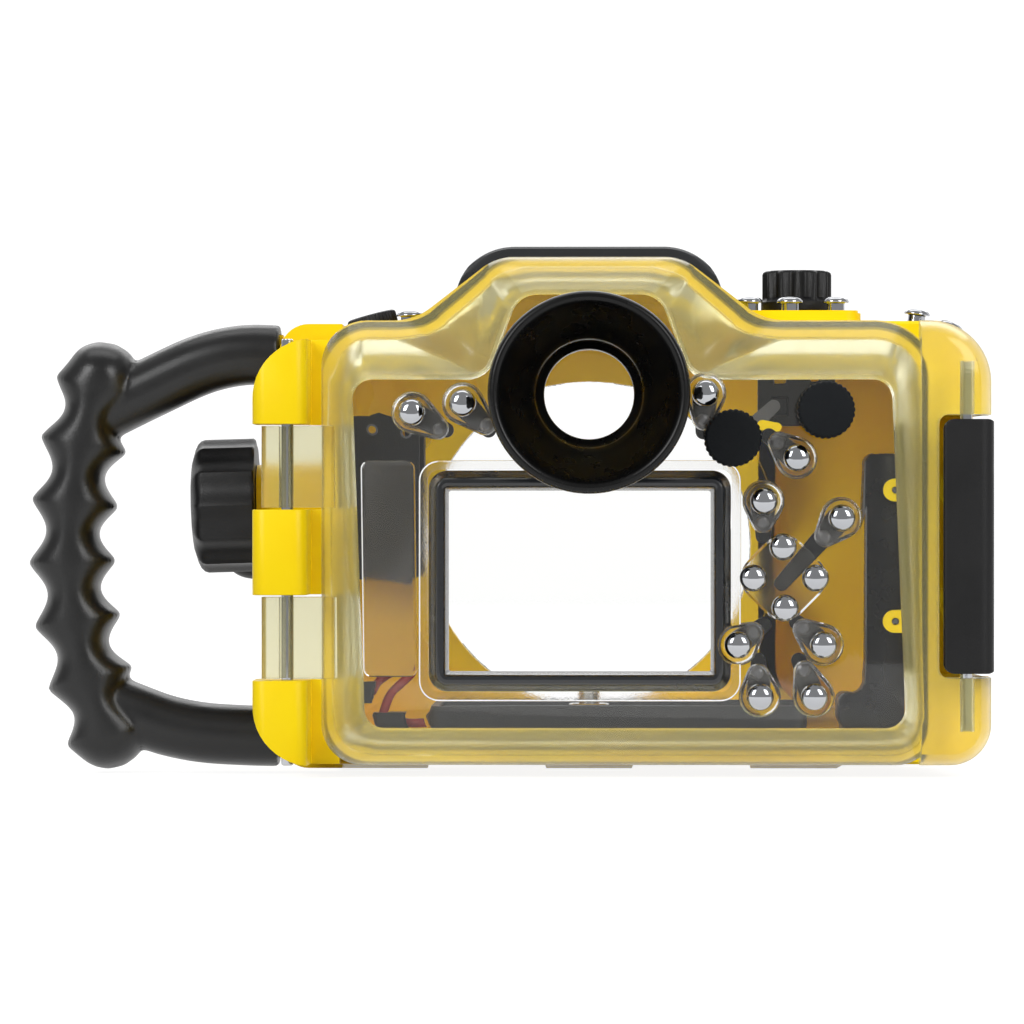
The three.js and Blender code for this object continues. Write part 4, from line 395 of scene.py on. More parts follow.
def batch_tint():
    """The slight change of colour over a moulding, and darker dust in small specks."""
    group, start, end = effect(
        "batch_tint",
        [("Color", "Color", (0.5, 0.5, 0.5, 1)), ("Shade", "Color", (0.4, 0.4, 0.4, 1)),
         ("Patch Size", "Float", 25.0), ("Specks", "Float", 0.1)],
        [("Color", "Color")],
    )
    patches = span(group, noise(group, start.outputs["Patch Size"], 3.0), 0.3, 0.7, 0.0, 1.0)
    specks = span(group, noise(group, 900.0, 1.0), 0.68, 0.74, 0.0, start.outputs["Specks"])
    mix = add(group, "ShaderNodeMix", {
        0: combined(group, "MAXIMUM", patches, specks), 6: start.outputs["Color"], 7: start.outputs["Shade"],
    }, data_type="RGBA")
    feed(group, end, {"Color": mix.outputs[2]})
    return group


GRAIN, HANDLING, TINT = mould_grain(), handling(), batch_tint()


def use(tree, group, **values):
    inputs = {name.replace("_", " "): value for name, value in values.items()}
    return add(tree, "ShaderNodeGroup", inputs, node_tree=group)


def shaded(name, **values):
    """A new material, its node tree and its shader with plain values."""
    material = bpy.data.materials.new(name)
    material.use_nodes = True
    surface = material.node_tree.nodes["Principled BSDF"]
    feed(material.node_tree, surface, {socket.replace("_", " "): value for socket, value in values.items()})
    return material, material.node_tree, surface


def textured(tree, surface, touch, relief, bump):
    """Gives a shader its handled roughness and its fine relief."""
    raised = add(tree, "ShaderNodeBump", {"Strength": bump, "Distance": 0.001, "Height": relief.outputs["Height"]})
    feed(tree, surface, {"Roughness": touch.outputs["Roughness"], "Normal": raised.outputs["Normal"]})


def finish(name, color, shade, polished, dull, grain_size=1500.0, grain=0.5, ripple=0.5, bump=0.02, **shader):
    """A moulded or metal finish from two screen colours: tint, handling and grain on one shader."""
    material, tree, surface = shaded(name, **shader)
    feed(tree, surface, {"Base Color": use(tree, TINT, Color=linear(*color), Shade=linear(*shade)).outputs["Color"]})
    textured(tree, surface, use(tree, HANDLING, Polished=polished, Dull=dull),
             use(tree, GRAIN, Grain_Size=grain_size, Grain=grain, Ripple=ripple), bump)
    return material


def clear_finish(name, tint, polished, dull, milk, bump, haze_colour=(0.6, 0.58, 0.52, 1)):
    """Clear moulded plastic. Light reaches what lies behind it, and a frosted face scatters a share of it."""
    material, tree, glass = shaded(name, Base_Color=tint, Transmission_Weight=1.0, IOR=1.49,
                                   Specular_IOR_Level=0.25 if milk else 0.08)
    textured(tree, glass, use(tree, HANDLING, Polished=polished, Dull=dull, Patch_Size=90.0),
             use(tree, GRAIN, Grain_Size=1200.0, Grain=0.4, Ripple=1.0), bump)
    result = glass.outputs["BSDF"]
    if milk:
        haze = add(tree, "ShaderNodeBsdfDiffuse", {"Color": haze_colour})
        through = add(tree, "ShaderNodeBsdfTranslucent", {"Color": haze_colour})
        body = add(tree, "ShaderNodeMixShader", {0: 0.5, 1: haze.outputs[0], 2: through.outputs[0]})
        result = add(tree, "ShaderNodeMixShader", {0: milk, 1: result, 2: body.outputs[0]}).outputs[0]
    clarity = 0.97 - milk * 0.3
    in_shadow = add(tree, "ShaderNodeLightPath").outputs["Is Shadow Ray"]
    open_to_light = add(tree, "ShaderNodeBsdfTransparent", {"Color": (clarity, clarity, clarity, 1)})
    shown = add(tree, "ShaderNodeMixShader", {0: in_shadow, 1: result, 2: open_to_light.outputs[0]})
    feed(tree, tree.nodes["Material Output"], {"Surface": shown.outputs[0]})
    return material


YELLOW = finish("yellow_shell", (255, 224, 0), (252, 210, 0), 0.3, 0.4, 2200.0, 0.5, 0.8, 0.12,
                Specular_IOR_Level=0.22)
# Painted bounce light: a warmer yellow for the case's inner walls, standing in for light bounced round inside the case
BOUNCE_YELLOW = finish("yellow_painted_bounce", (255, 214, 0), (252, 198, 0), 0.34, 0.44, 2200.0, 0.5, 0.8, 0.12,
              Specular_IOR_Level=0.15)
BLACK = finish("black_plastic", (18, 18, 19), (13, 13, 14), 0.34, 0.46, 1800.0, 0.6, 0.6, 0.15, Specular_IOR_Level=0.3)
GRIP = finish("grip_plastic", (20, 20, 20), (16, 16, 17), 0.28, 0.38, 1600.0, 0.4, 1.0, 0.12, Specular_IOR_Level=0.45)
MATT = finish("matt_black", (15, 18, 21), (11, 14, 17), 0.5, 0.62, 2500.0, 1.0, 0.3, 0.25, Specular_IOR_Level=0.15)
GLOSS = finish("black_gloss", (26, 29, 33), (20, 22, 26), 0.2, 0.28, 900.0, 0.1, 1.0, 0.06, Coat_Weight=0.4)
RUBBER = finish("black_rubber", (8, 8, 8), (5, 5, 5), 0.24, 0.32, 2600.0, 0.4, 0.05, 0.03, Specular_IOR_Level=0.25)
CHROME = finish("chrome", (186, 187, 190), (174, 176, 180), 0.03, 0.07, 700.0, 0.1, 0.6, 0.015, Metallic=1.0)
STEEL = finish("steel", (205, 203, 198), (186, 184, 180), 0.18, 0.3, 900.0, 0.6, 0.4, 0.06, Metallic=1.0)
SCREW = finish("dark_screw", (120, 120, 122), (95, 95, 98), 0.25, 0.4, 900.0, 0.6, 0.4, 0.06, Metallic=1.0)
GREY = finish("grey_plastic", (92, 92, 94), (76, 76, 78), 0.35, 0.5, 1500.0, 0.5, 0.5, 0.1)
RED = finish("red_lead", (150, 22, 10), (120, 16, 8), 0.4, 0.55, 1200.0, 0.4, 0.6, 0.1)
WINDOW = clear_finish("clear_door", (0.96, 0.965, 0.955, 1), 0.0, 0.012, 0.0, 0.004)
# Frosted door: real frost, with its yellow tint and yellow haze painted in for the case's yellow light scattered
# through it
FROST_PAINTED_YELLOW = clear_finish("frosted_door_painted_yellow", (0.94, 0.92, 0.68, 1), 0.15, 0.2, 0.22, 0.02, (0.6, 0.56, 0.27, 1))
PLATE = clear_finish("hazed_plate", (0.95, 0.95, 0.94, 1), 0.1, 0.16, 0.09, 0.05)
LENS = clear_finish("eyepiece_glass", (0.98, 0.985, 0.98, 1), 0.0, 0.008, 0.0, 0.003)

SLOTS = {
    "yellow_shell": YELLOW, "clear_door": WINDOW, "eyepiece_glass": LENS, "black_plastic": BLACK,
    "black_gloss": GLOSS, "black_rubber": RUBBER, "chrome": CHROME, "steel": STEEL, "red_lead": RED,
}


def painted(made, *materials):
    made.data.materials.clear()
    for material in materials:
        made.data.materials.append(material)
    return made


def fitted(made, slot, body, *replaced, material=None):
    """Gives a piece its material, the slot's one unless a material is given or it has its own, puts it in its body,
    and hides the CAD nodes that it stands for.
    """
    if material or not any(made.data.materials):
        painted(made, material or SLOTS[slot])
    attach(made, body)
    for node in replaced:
        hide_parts(node)
    return made


# ---- Front case ----

FLANGE = [
    (-BODY_LEFT, BODY_FLOOR, 12), (BODY_RIGHT, BODY_FLOOR, 12), (BODY_RIGHT, BODY_TOP, BODY_CORNER),
    (HUMP_FOOT, BODY_TOP, 18),
    (HUMP_CROWN, HUMP_TOP, 15), (-HUMP_CROWN, HUMP_TOP, 15), (-HUMP_FOOT, BODY_TOP, 18), (-BODY_LEFT, BODY_TOP, 14),
]
COVER = [(min(x, POCKET_X), z, r) for x, z, r in FLANGE]
OUTER = inset(FLANGE, CASE_STEP)
CAVITY = inset(COVER, SEAL_LAND)
WINDOW_LINE = [
    (WINDOW_LEAN - WINDOW_LEFT, WINDOW_FLOOR, 6), (WINDOW_RIGHT + 3.2, WINDOW_FLOOR, 6),
    (WINDOW_RIGHT - WINDOW_LEAN + 0.6, WINDOW_TOP, 6), (29.5, WINDOW_TOP, 8), (20.5, WINDOW_TOP + 24.5, 8),
    (-20.5, WINDOW_TOP + 24.5, 8), (-29.5, WINDOW_TOP, 8), (-WINDOW_LEFT - 2.2, WINDOW_TOP, 6),
]
POCKET = rectangle((POCKET_X, BODY_RIGHT + 6), (POCKET_LOW, POCKET_HIGH), 3)


def hinge_z(segment):
    """The height at which one of the hinge's five equal segments starts."""
    return BODY_FLOOR + segment * HINGE_SEGMENT


def on_port(shape):
    return shifted(shape, z=PORT_HEIGHT)


def knuckle(name, segment):
    """One yellow hinge knuckle, rounded all round, wrapping from the joint to the case's side."""
    reach = HINGE_X - BODY_LEFT + CASE_WALL
    plan = [
        (-9.9, -8.6, 4), (6, -8.6, 4), (6.3, HINGE_BEHIND + GAP, 0.3), (reach, HINGE_BEHIND + GAP, 0.3),
        (reach, 24, 0.3), (-9.9, 15.4, 4),
    ]
    made = piece(name, column(plan, hinge_z(segment), hinge_z(segment + 1), 8))
    silhouette = rectangle((-9.9, reach + 18), (hinge_z(0), hinge_z(5)), 18)
    kept_within(made, slab(silhouette, -12, 28))
    made.data.transform(Matrix.Translation((-HINGE_X * MM, -HINGE_BEHIND * MM, 0)))
    return baked(softened(made, 2.4, 5, 30.0), 40.0)


def case_outside():
    """The front half from its rim to the rounded edge of its face."""
    rounding = []
    for step in range(9):
        turn = step * math.pi / 16
        depth = FRONT_FACE - CASE_EDGE * (1 - math.sin(turn))
        rounding.append(ring(inset(OUTER, CASE_DRAFT + CASE_EDGE * (1 - math.cos(turn))), depth))
    return skin([
        ring(inset(FLANGE, 0.8), GAP), ring(FLANGE, GAP + 0.8), ring(FLANGE, GAP + CASE_RIM),
        ring(OUTER, GAP + CASE_RIM + CASE_STEP), *rounding,
    ])


def case_room():
    """The hollow of the front half."""
    inner = FRONT_FACE - CASE_WALL
    return layered(CAVITY, [(0, -OVERRUN), (0, GAP + CASE_RIM), (CASE_DRAFT, inner - 9), (CASE_DRAFT + 0.7, inner - 5),
                            (CASE_DRAFT + 3, inner - 2), (CASE_DRAFT + 9, inner)])


def rounded_slab(corners, start, end, edge, steps=10):
    """A slab whose far edge is rounded over."""
    turns = [step * math.pi / 12 for step in range(7)]
    over = [(edge * (1 - math.cos(turn)), end - edge * (1 - math.sin(turn))) for turn in turns]
    return layered(corners, [(0, start), *over], steps)


GRIP_LINE, BULGE_DEPTH = rectangle((52, BODY_RIGHT - 9), (BODY_FLOOR + 9, BODY_TOP - 9), 18), 17
GRIP_ROOM, GRIP_ROOM_END = inset(GRIP_LINE, CASE_WALL), FRONT_FACE + BULGE_DEPTH - CASE_WALL
SHELL_TOP = BODY_TOP - CASE_STEP
PLATFORM_LEFT, PLATFORM_WIDTH, PLATFORM_TOP = 42, 38, BODY_TOP + 3.5
PLATFORM = rectangle((PLATFORM_LEFT, PLATFORM_LEFT + PLATFORM_WIDTH), (9, 50), 5)
TOP_BUTTON_X = [PLATFORM_LEFT + across * PLATFORM_WIDTH for across in (0.14, 0.455, 0.81)]
ARM_HEIGHTS = (124.4, 10.9)
HANDLE_Y, ARM_END = 30.0, 92.0
LUG_DEPTHS, TONGUE_DEPTHS, TONGUE_END, TONGUE_HALF = (19, 41), (26, 34), -104, 6
SIDE_DRAFT = math.radians(1.7)
SIDE_FRAME = Matrix.Translation((-BODY_LEFT, 45, 80.5)) @ Matrix.Rotation(-SIDE_DRAFT, 4, "Y") @ ALONG
SIDE_SEAT, SIDE_END = 21.7, 41.2
PAD_LENGTH = 54.0
RELEASE_SEAT = Matrix.Translation((-BODY_LEFT, 65.5, 63.3)) @ ALONG


def shoulder_frame(x, y, z, tilt):
    return Matrix.Translation((x, y, z)) @ Matrix.Rotation(tilt, 4, "Y")


SHOULDER_TILT = math.radians(26)
SHOULDER_RADIUS = BODY_CORNER - CASE_STEP
SHOULDER = shoulder_frame(BODY_RIGHT - BODY_CORNER + math.sin(SHOULDER_TILT) * SHOULDER_RADIUS, 26,
                          BODY_TOP - BODY_CORNER + math.cos(SHOULDER_TILT) * SHOULDER_RADIUS, SHOULDER_TILT)
SHUTTER = shoulder_frame(97.4, 35, SHELL_TOP + SUNK, math.radians(7))
RELEASE = shoulder_frame(-64, 30, SHELL_TOP + SUNK, -math.radians(15))
RELEASE_BUTTON_Z = SHELL_TOP + 1.2


def base_pad(x, rear, front):
    """A foot that slopes up to the rear, so that it hides under the door."""
    outline = [(rear, BODY_FLOOR + 2.5), (front, BODY_FLOOR + 2.5), (front, 0.6), (front - 0.6, 0), (rear + 46, 0),
               (rear + 42, 0.3), (rear, BODY_FLOOR - 0.5)]
    return skin([[Vector((x + side, y, z)) for y, z in outline] for side in (-13, 13)])


def raised_seats():
    """The lens boss, the dial's platform and the round seats of the other controls."""
    boss = [(0, FRONT_FACE - 9), (PORT_BOSS_RADIUS, FRONT_FACE - 9), (PORT_BOSS_RADIUS, BOSS_FACE - 2),
            (PORT_BOSS_RADIUS - 0.6, BOSS_FACE - 0.6), (PORT_BOSS_RADIUS - 2, BOSS_FACE), (0, BOSS_FACE)]
    return [
        on_port(turned(boss, 96)),
        column(PLATFORM, SHELL_TOP - 5, PLATFORM_TOP - 0.8, 10),
        column(inset(PLATFORM, 0.8), SHELL_TOP - 5, PLATFORM_TOP, 10),
        moved(pin(12, GAP - SIDE_SEAT, 5, 48), SIDE_FRAME),
        moved(pin(5, GAP - 18, 5, 40), RELEASE_SEAT),
        moved(pin(5.9, -5, 0, 40), SHUTTER @ UP),
        moved(pin(6.2, -5, 0, 40), RELEASE @ UP),
        standing(pin(3.9, -5, 0, 40), *RELEASE_BUTTON, RELEASE_BUTTON_Z),
    ]


def arm_seat(height):
    """The lug that carries an arm of the handle, rounded at its outer corner."""
    upper = height > ARM_HEIGHTS[1]
    lug = [(-ARM_END + GAP, height - 9, 0.3 if upper else 11), (-BODY_LEFT + 5, height - 9, 0.3),
           (-BODY_LEFT + 5, height + 9, 0.3), (-ARM_END + GAP, height + 9, 11 if upper else 0.3)]
    tongue = block((TONGUE_END, -ARM_END + 0.9), TONGUE_DEPTHS, (height - TONGUE_HALF, height + TONGUE_HALF))
    return [slab(lug, *LUG_DEPTHS, 10), tongue]


def top_bores():
    """The holes of the dial, the buttons and the shutter, from above."""
    places = [(*TOP_DIAL, SPINDLE_HOLE), *((x, TOP_BUTTON_Y, STEM_HOLE) for x in TOP_BUTTON_X),
              (*RELEASE_BUTTON, STEM_HOLE)]
    bores = [standing(pin(radius, -17.1, 2), x, y, PLATFORM_TOP) for x, y, radius in places]
    return bores + [moved(pin(STEM_HOLE, -depth, 2), frame_of @ UP)
                    for frame_of, depth in ((SHUTTER, 8.3), (SHOULDER, 8.3), (RELEASE, 4.3))]


def case_shell():
    pad_rear = (CASE_DEPTH - PAD_LENGTH) / 2
    port_bore = [(0, FRONT_FACE - 7), (PORT_RADIUS, FRONT_FACE - 7), (PORT_RADIUS, BOSS_FACE - 1),
                 (PORT_RADIUS + 1, BOSS_FACE + 0.01), (PORT_RADIUS + 1, BOSS_FACE + 2), (0, BOSS_FACE + 2)]
    joined = raised_seats()
    for height in ARM_HEIGHTS:
        joined += arm_seat(height)
    joined += [base_pad(x, pad_rear, pad_rear + PAD_LENGTH) for x in (-62, 0, 62)]
    removed = [
        case_room(),
        slab(GRIP_ROOM, 39, GRIP_ROOM_END, 10),
        on_port(pin(PORT_STEP_RADIUS, FRONT_FACE - 7, BOSS_FACE - PORT_LEDGE, 96)),
        on_port(turned(port_bore, 96)),
        slab(POCKET, -OVERRUN, 34, 6),
        hoop(COVER, [(2.55, -OVERRUN), (5.95, -OVERRUN), (5.95, 3.4), (2.55, 3.4)]),
        moved(pin(SPINDLE_HOLE, -SIDE_END, 15.5), SIDE_FRAME),
        moved(pin(STEM_HOLE, -20, -2.7), RELEASE_SEAT),
        *(at((BOLT_X, height), pin(BOLT_HOLE, *LUG_DEPTHS)) for height in ARM_HEIGHTS),
        *top_bores(),
    ]
    middle = (POCKET_LOW + POCKET_HIGH) / 2
    added = [block((POCKET_X - SUNK, POCKET_X + 6.1), (5, 9.5), (middle + way * 16.5 - 4, middle + way * 16.5 + 4))
             for way in (-1, 1)]
    added += [block((x - 2.5, x + 2.5), (8, 60), (CAVITY[0][1] - SUNK, CAVITY[0][1] + CASE_DRAFT))
              for x in (-57, -36, 9, 54)]
    return carved("case_shell", case_outside(), joined, removed, added, 32.0)


def grip_bulge():
    """The hollow bulge at the right of the front, cut back round the lens boss."""
    return carved("bulge", rounded_slab(GRIP_LINE, FRONT_FACE - 14, FRONT_FACE + BULGE_DEPTH, 10), removed=[
        on_port(pin(59.5, BOSS_FACE, FRONT_FACE + 20, 96)),
        on_port(pin(PORT_STEP_RADIUS, FRONT_FACE - 15, BOSS_FACE - PORT_LEDGE, 96)),
        rounded_slab(GRIP_ROOM, FRONT_FACE - 16, GRIP_ROOM_END, 5),
        case_room(),
    ])


def paint_bounce_walls(made, low, high, deepest):
    """The walls of a yellow room, painted a warmer yellow than the outside for the light bounced round inside it."""
    painted(made, YELLOW, BOUNCE_YELLOW)
    for face in made.data.polygons:
        x, y, z = face.center / MM
        within = low[0] < x < high[0] and low[1] < z < high[1] and 3 < y + BASE_Y < deepest
        face.material_index = 1 if within else 0
    return made


bulge = grip_bulge()
shell = case_shell()
# The inner walls of the shell and the bulge get the painted bounce light
paint_bounce_walls(shell, (-BODY_LEFT + 6, BODY_FLOOR + 5), (POCKET_X - 2, BODY_TOP - 5), FRONT_FACE - CASE_WALL + 1)
paint_bounce_walls(bulge, (56.5, BODY_FLOOR + 13.5), (BODY_RIGHT - 13.5, BODY_TOP - 13.5), GRIP_ROOM_END + 0.2)
fitted(shell, "yellow_shell", "front_assembly", "front_case")
fitted(bulge, "yellow_shell", "front_assembly")
for number, segment in enumerate((0, 2, 4), 1):
    fitted(knuckle("hinge_knuckle_%d" % number, segment), "yellow_shell", "front_assembly")


# ---- Clear rear door ----

def share(across, up):
    """A place on the window, by shares of its width and height."""
    return (across * (WINDOW_LEFT + WINDOW_RIGHT) - WINDOW_LEFT, WINDOW_FLOOR + up * (WINDOW_TOP - WINDOW_FLOOR))


# For each button: its cap, then the screw and the tip of its arm, if it has one
BUTTONS = [
    ((0.101, 0.902), (0.148, 0.857), (0.163, 0.853)), ((0.195, 0.928), (0.236, 0.869), (0.242, 0.853)),
    ((0.645, 0.956), (0.642, 0.883), (0.642, 0.848)), ((0.814, 0.772), (0.782, 0.815), (0.764, 0.836)),
    ((0.753, 0.65), (0.752, 0.591), (0.754, 0.55)), ((0.897, 0.602), (0.868, 0.551), (0.788, 0.416)),
    ((0.788, 0.52),), ((0.733, 0.432),), ((0.848, 0.432),), ((0.792, 0.347),),
    ((0.705, 0.242), (0.733, 0.275), (0.756, 0.299)), ((0.863, 0.242), (0.828, 0.284), (0.816, 0.305)),
    ((0.746, 0.095), (0.743, 0.156), (0.745, 0.196)), ((0.846, 0.095), (0.83, 0.165), (0.82, 0.196)),
]
BUTTONS = [[share(*place) for place in places] for places in BUTTONS]
BOSSES = [places[:2] for places in BUTTONS if len(places) > 1]
KNOBS = [share(0.695, 0.828), share(0.867, 0.908)]
PLATE_LOW, PLATE_HIGH = share(0, 0.15), share(0, 0.765)
DIAMOND = share(0.79, 0.432)
MONITOR = share(0.412, 0.423)
MONITOR_HALF_WIDTH, MONITOR_HALF_HEIGHT = 37.5, 25.8


def teardrop(cap, screw):
    """The raised boss round a button and the screw beside it."""
    face = FACE_Y - BOSS_RISE
    return lifted([(hull(cap, screw, 6.1, 3.3), FACE_Y + SUNK), (hull(cap, screw, 6.1, 3.3), FACE_Y),
                   (hull(cap, screw, 5.6, 2.9), face + 0.5), (hull(cap, screw, 5.1, 2.5), face + 0.1),
                   (hull(cap, screw, 4.8, 2.2), face)])


def cover_outside():
    """The door from its flange, up the bowed walls, to the rounded edge of its window."""
    slope = []
    for step in range(1, 6):
        ease = step / 6
        out = 1.4 * math.sin(math.pi * ease)
        y = -COVER_FLANGE + (FACE_Y + WINDOW_EDGE + COVER_FLANGE) * ease
        low, high = rounded(inset(COVER, -out), 12), rounded(inset(WINDOW_LINE, -WINDOW_EDGE - out), 12)
        slope.append([Vector((a.x + (b.x - a.x) * ease, y, a.y + (b.y - a.y) * ease)) for a, b in zip(low, high)])
    edge = []
    for step in range(5):
        turn = step * math.pi / 8
        reach = -WINDOW_EDGE * (1 - math.sin(turn))
        edge.append(ring(inset(WINDOW_LINE, reach), FACE_Y + WINDOW_EDGE * (1 - math.sin(turn)) ** 1.6))
    return skin([ring(inset(COVER, 0.5), 0), ring(COVER, -0.5), ring(COVER, -COVER_FLANGE), *slope, *edge])


def cover_inside():
    return skin([
        ring(CAVITY, OVERRUN), ring(CAVITY, -COVER_FLANGE / 2),
        ring(inset(WINDOW_LINE, -0.6), INNER_Y + WINDOW_EDGE), ring(inset(WINDOW_LINE, 0.5), INNER_Y),
    ])


def ear_stock():
    """The door's flange carried on to the right, for the latch ears."""
    return layered(FLANGE, [(0.5, 0), (0, -0.5), (0, -COVER_FLANGE), (2.2, -12), (3.6, -14.4), (6.0, -EAR_THICKNESS)])


def snap_hook(segment):
    """The door's hinge hook, open to the rear, round the case's pin."""
    low, high = hinge_z(segment) + HINGE_PLAY, hinge_z(segment + 1) - HINGE_PLAY
    stock = column(rectangle((-7.3, 15), (-7, 7), 3), low, high, 8)
    mouth = HINGE_PIN_RADIUS + GAP
    made = carved("snap_hook", stock, removed=[moved(pin(mouth, low - 2, high + 2, 48), UP),
                                               block((-mouth, mouth), (-9, 0), (low - 2, high + 2))])
    return shape_of(made, -HINGE_X, -HINGE_BEHIND)


def round_monitor(reach, radius):
    """An outline round the camera's screen, a reach outside its opening."""
    x, z = MONITOR
    wide, high = MONITOR_HALF_WIDTH + reach, MONITOR_HALF_HEIGHT + reach
    return rectangle((x - wide, x + wide), (z - high, z + high), radius)


def side_plate():
    left, low, high = PLATE_LOW[0] + WINDOW_LEAN / 2, PLATE_LOW[1], PLATE_HIGH[1]
    line = [(left + 0.8, low, 2.4), (left + 16.4, low, 2.4), (left + 15.6, high, 2.4), (left, high, 2.4)]
    return layered(line, [(0, FACE_Y + SUNK), (0, FACE_Y - 0.7), (0.35, FACE_Y - 1.2), (0.9, FACE_Y - 1.4)], 8)


def diamond():
    x, z = DIAMOND
    line = [(x - 15.2, z, 7), (x, z - 15.2, 7), (x + 15.2, z, 7), (x, z + 15.2, 7)]
    return layered(line, [(0, FACE_Y + SUNK), (0, FACE_Y - 1.4), (0.6, FACE_Y - BOSS_RISE)], 8)


def door():
    ears = carved("ears", ear_stock(), removed=[
        block((-90, POCKET_X - 5), (-30, 10), (-10, 170)), slab(POCKET, -20, 2, 6)])
    reach = LATCH_PIN_REACH + GAP
    ear_bore = standing(pin(LATCH_BORE, POCKET_LOW - reach, POCKET_HIGH + reach, 40), *LATCH_PIVOT)
    seat = hoop(round_monitor(9, 6), [(0, FACE_Y + SUNK), (0.2, FACE_Y - 0.9), (0.6, FACE_Y - 1.3),
                                      (2.7, FACE_Y - 1.3), (2.7, FACE_Y + SUNK)], 8)
    made = carved(
        "door_moulding", cover_outside(), [shape_of(ears), snap_hook(1), snap_hook(3)],
        [cover_inside(), ear_bore],
        [side_plate(), diamond(), *(teardrop(cap, screw) for cap, screw in BOSSES), seat], 30.0)
    through = (FACE_Y - BOSS_RISE - 2, INNER_Y + 2)
    holes = [at(places[0], pin(STEM_HOLE, *through, 28)) for places in BUTTONS]
    holes += [at(place, pin(SPINDLE_HOLE, *through, 28)) for place in KNOBS]
    holes.append(at((0, EYE_Z), pin(15.5, *through, 72)))
    return cut(made, holes, 30.0)


def clear_faces(made):
    """The flat window is polished, all that stands proud of it hazed, and the rest frosted."""
    painted(made, WINDOW, FROST_PAINTED_YELLOW, PLATE)
    for face in made.data.polygons:
        x, y = face.center.x / MM, face.center.y / MM + BASE_Y
        flat = abs(face.normal.y) > 0.93
        window = flat and y < INNER_Y + 0.3 and x < WINDOW_RIGHT + 3
        face.material_index = 2 if y < FACE_Y - 0.15 else 0 if window else 1
    return made


fitted(clear_faces(door()), "clear_door", "rear_door", "rear_cover")


# ---- Fittings of the door ----

LOW_DOME = ((0, 0), (0.34, 0.02), (0.6, 0.1), (0.79, 0.25), (0.92, 0.47), (0.99, 0.72), (1, 0.86), (0.97, 1))


def cap_and_stem(under, height, end, clip_at=None):
    """A domed cap on a stem, with a retaining clip inside the wall."""
    profile = [(CAP_RADIUS * r, under - height * (1 - y)) for r, y in LOW_DOME]
    profile += [(STEM_RADIUS + 0.25, under), (STEM_RADIUS, under + 0.25)]
    if clip_at is not None:
        profile += [(STEM_RADIUS, clip_at), (3.05, clip_at), (3.2, clip_at + 0.15), (3.2, clip_at + 0.85),
                    (3.05, clip_at + 1), (STEM_RADIUS, clip_at + 1)]
    profile += [(STEM_RADIUS, end - 0.3), (STEM_RADIUS - 0.3, end), (0, end)]
    return turned(profile, 56)


def screw_head(radius, height, face):
    """A cross-headed screw whose head stands towards -Y from a face."""
    head = turned([(0, face - height), (radius * 0.55, face - height), (radius * 0.85, face - height * 0.75),
                   (radius, face - height * 0.3), (radius, face + 0.3), (0, face + 0.3)], 32)
    wide, deep = radius * 0.14, height * 0.5
    slots = [block((-radius * 0.6, radius * 0.6), (face - height - 1, face - height + deep), (-wide, wide)),
             block((-wide, wide), (face - height - 1, face - height + deep), (-radius * 0.6, radius * 0.6))]
    return shape_of(carved("screw", head, removed=slots))


ARM_REAR = INNER_Y + 1.6
ARM_SCREW = screw_head(1.75, 0.9, ARM_REAR)


def push_arm(cap, tip):
    """The flat lever behind the window that carries a push across to the camera."""
    layers = [(2.9, 1.9, 0), (3.2, 2.2, 0.35), (3.2, 2.2, 2.05), (2.9, 1.9, 2.4)]
    return lifted([(hull(cap, tip, wide, narrow, 18), ARM_REAR + y) for wide, narrow, y in layers])


def arm_foot(tip):
    return at(tip, turned([(0, ARM_REAR + 1.8), (1.9, ARM_REAR + 1.8), (1.9, ARM_REAR + 4.4), (1.7, ARM_REAR + 5.0),
                           (1.2, ARM_REAR + 5.4), (0, ARM_REAR + 5.4)], 28))


CAP = shifted(cap_and_stem(-BOSS_RISE - 2.4, 3.2, COVER_WALL + 1.3, COVER_WALL + 0.3), y=FACE_Y)
for number, places in enumerate(BUTTONS, 1):
    body = "rear_push_%d" % number
    fitted(piece("rear_cap_%d" % number, at(places[0], CAP), 40.0), "chrome", body, "rear_button_%d" % number)
    if len(places) > 1:
        arm = assembled("push_arm_%d" % number, [
            (push_arm(places[0], places[2]), 0), (arm_foot(places[2]), 1), (at(places[1], ARM_SCREW), 2),
        ], [BLACK, RUBBER, SCREW])
        fitted(arm, "black_plastic", body, "button_arm_%d" % number)

# Soft eyecup and its window, as profiles of (radius, y from the door's face)
EYECUP = [
    (12.9, -0.3), (18.0, -0.3), (18.2, -0.6), (18.2, -5.5), (18.5, -9), (19.6, -13.5), (21.9, -18.5), (24.8, -23),
    (27.2, -26.6), (28.3, -29), (28.6, -31.2), (28.6, -34.2), (28.45, -35.4), (28.0, -36.4), (27.3, -36.95),
    (26.5, -36.9), (25.8, -36.3), (25.0, -35.0), (23.6, -32.2), (21.4, -28), (18.9, -23.4), (17.0, -20.2),
    (15.8, -18.6), (15.4, -17.4), (15.4, -13.4), (15.1, -12.4), (14.0, -11.4), (13.2, -10.8), (12.9, -10.2),
    (12.9, -5),
]
eyecup = piece("soft_eyecup", at((0, EYE_Z), shifted(turned(EYECUP, 128), y=FACE_Y)), 50.0)
fitted(eyecup, "black_rubber", "rear_door", "eyecup")
EYEPIECE = [
    (0, 1.25), (5, 1.27), (10, 1.33), (14.2, 1.43), (14.6, 1.45), (15.0, 1.7), (15.0, 3.7), (14.7, 4.0), (0, 4.0),
]
eyepiece = piece("eyepiece_window", at((0, EYE_Z), shifted(turned(EYEPIECE, 96), y=FACE_Y)), 12.0)
fitted(eyepiece, "eyepiece_glass", "rear_door", "eyepiece_glass")

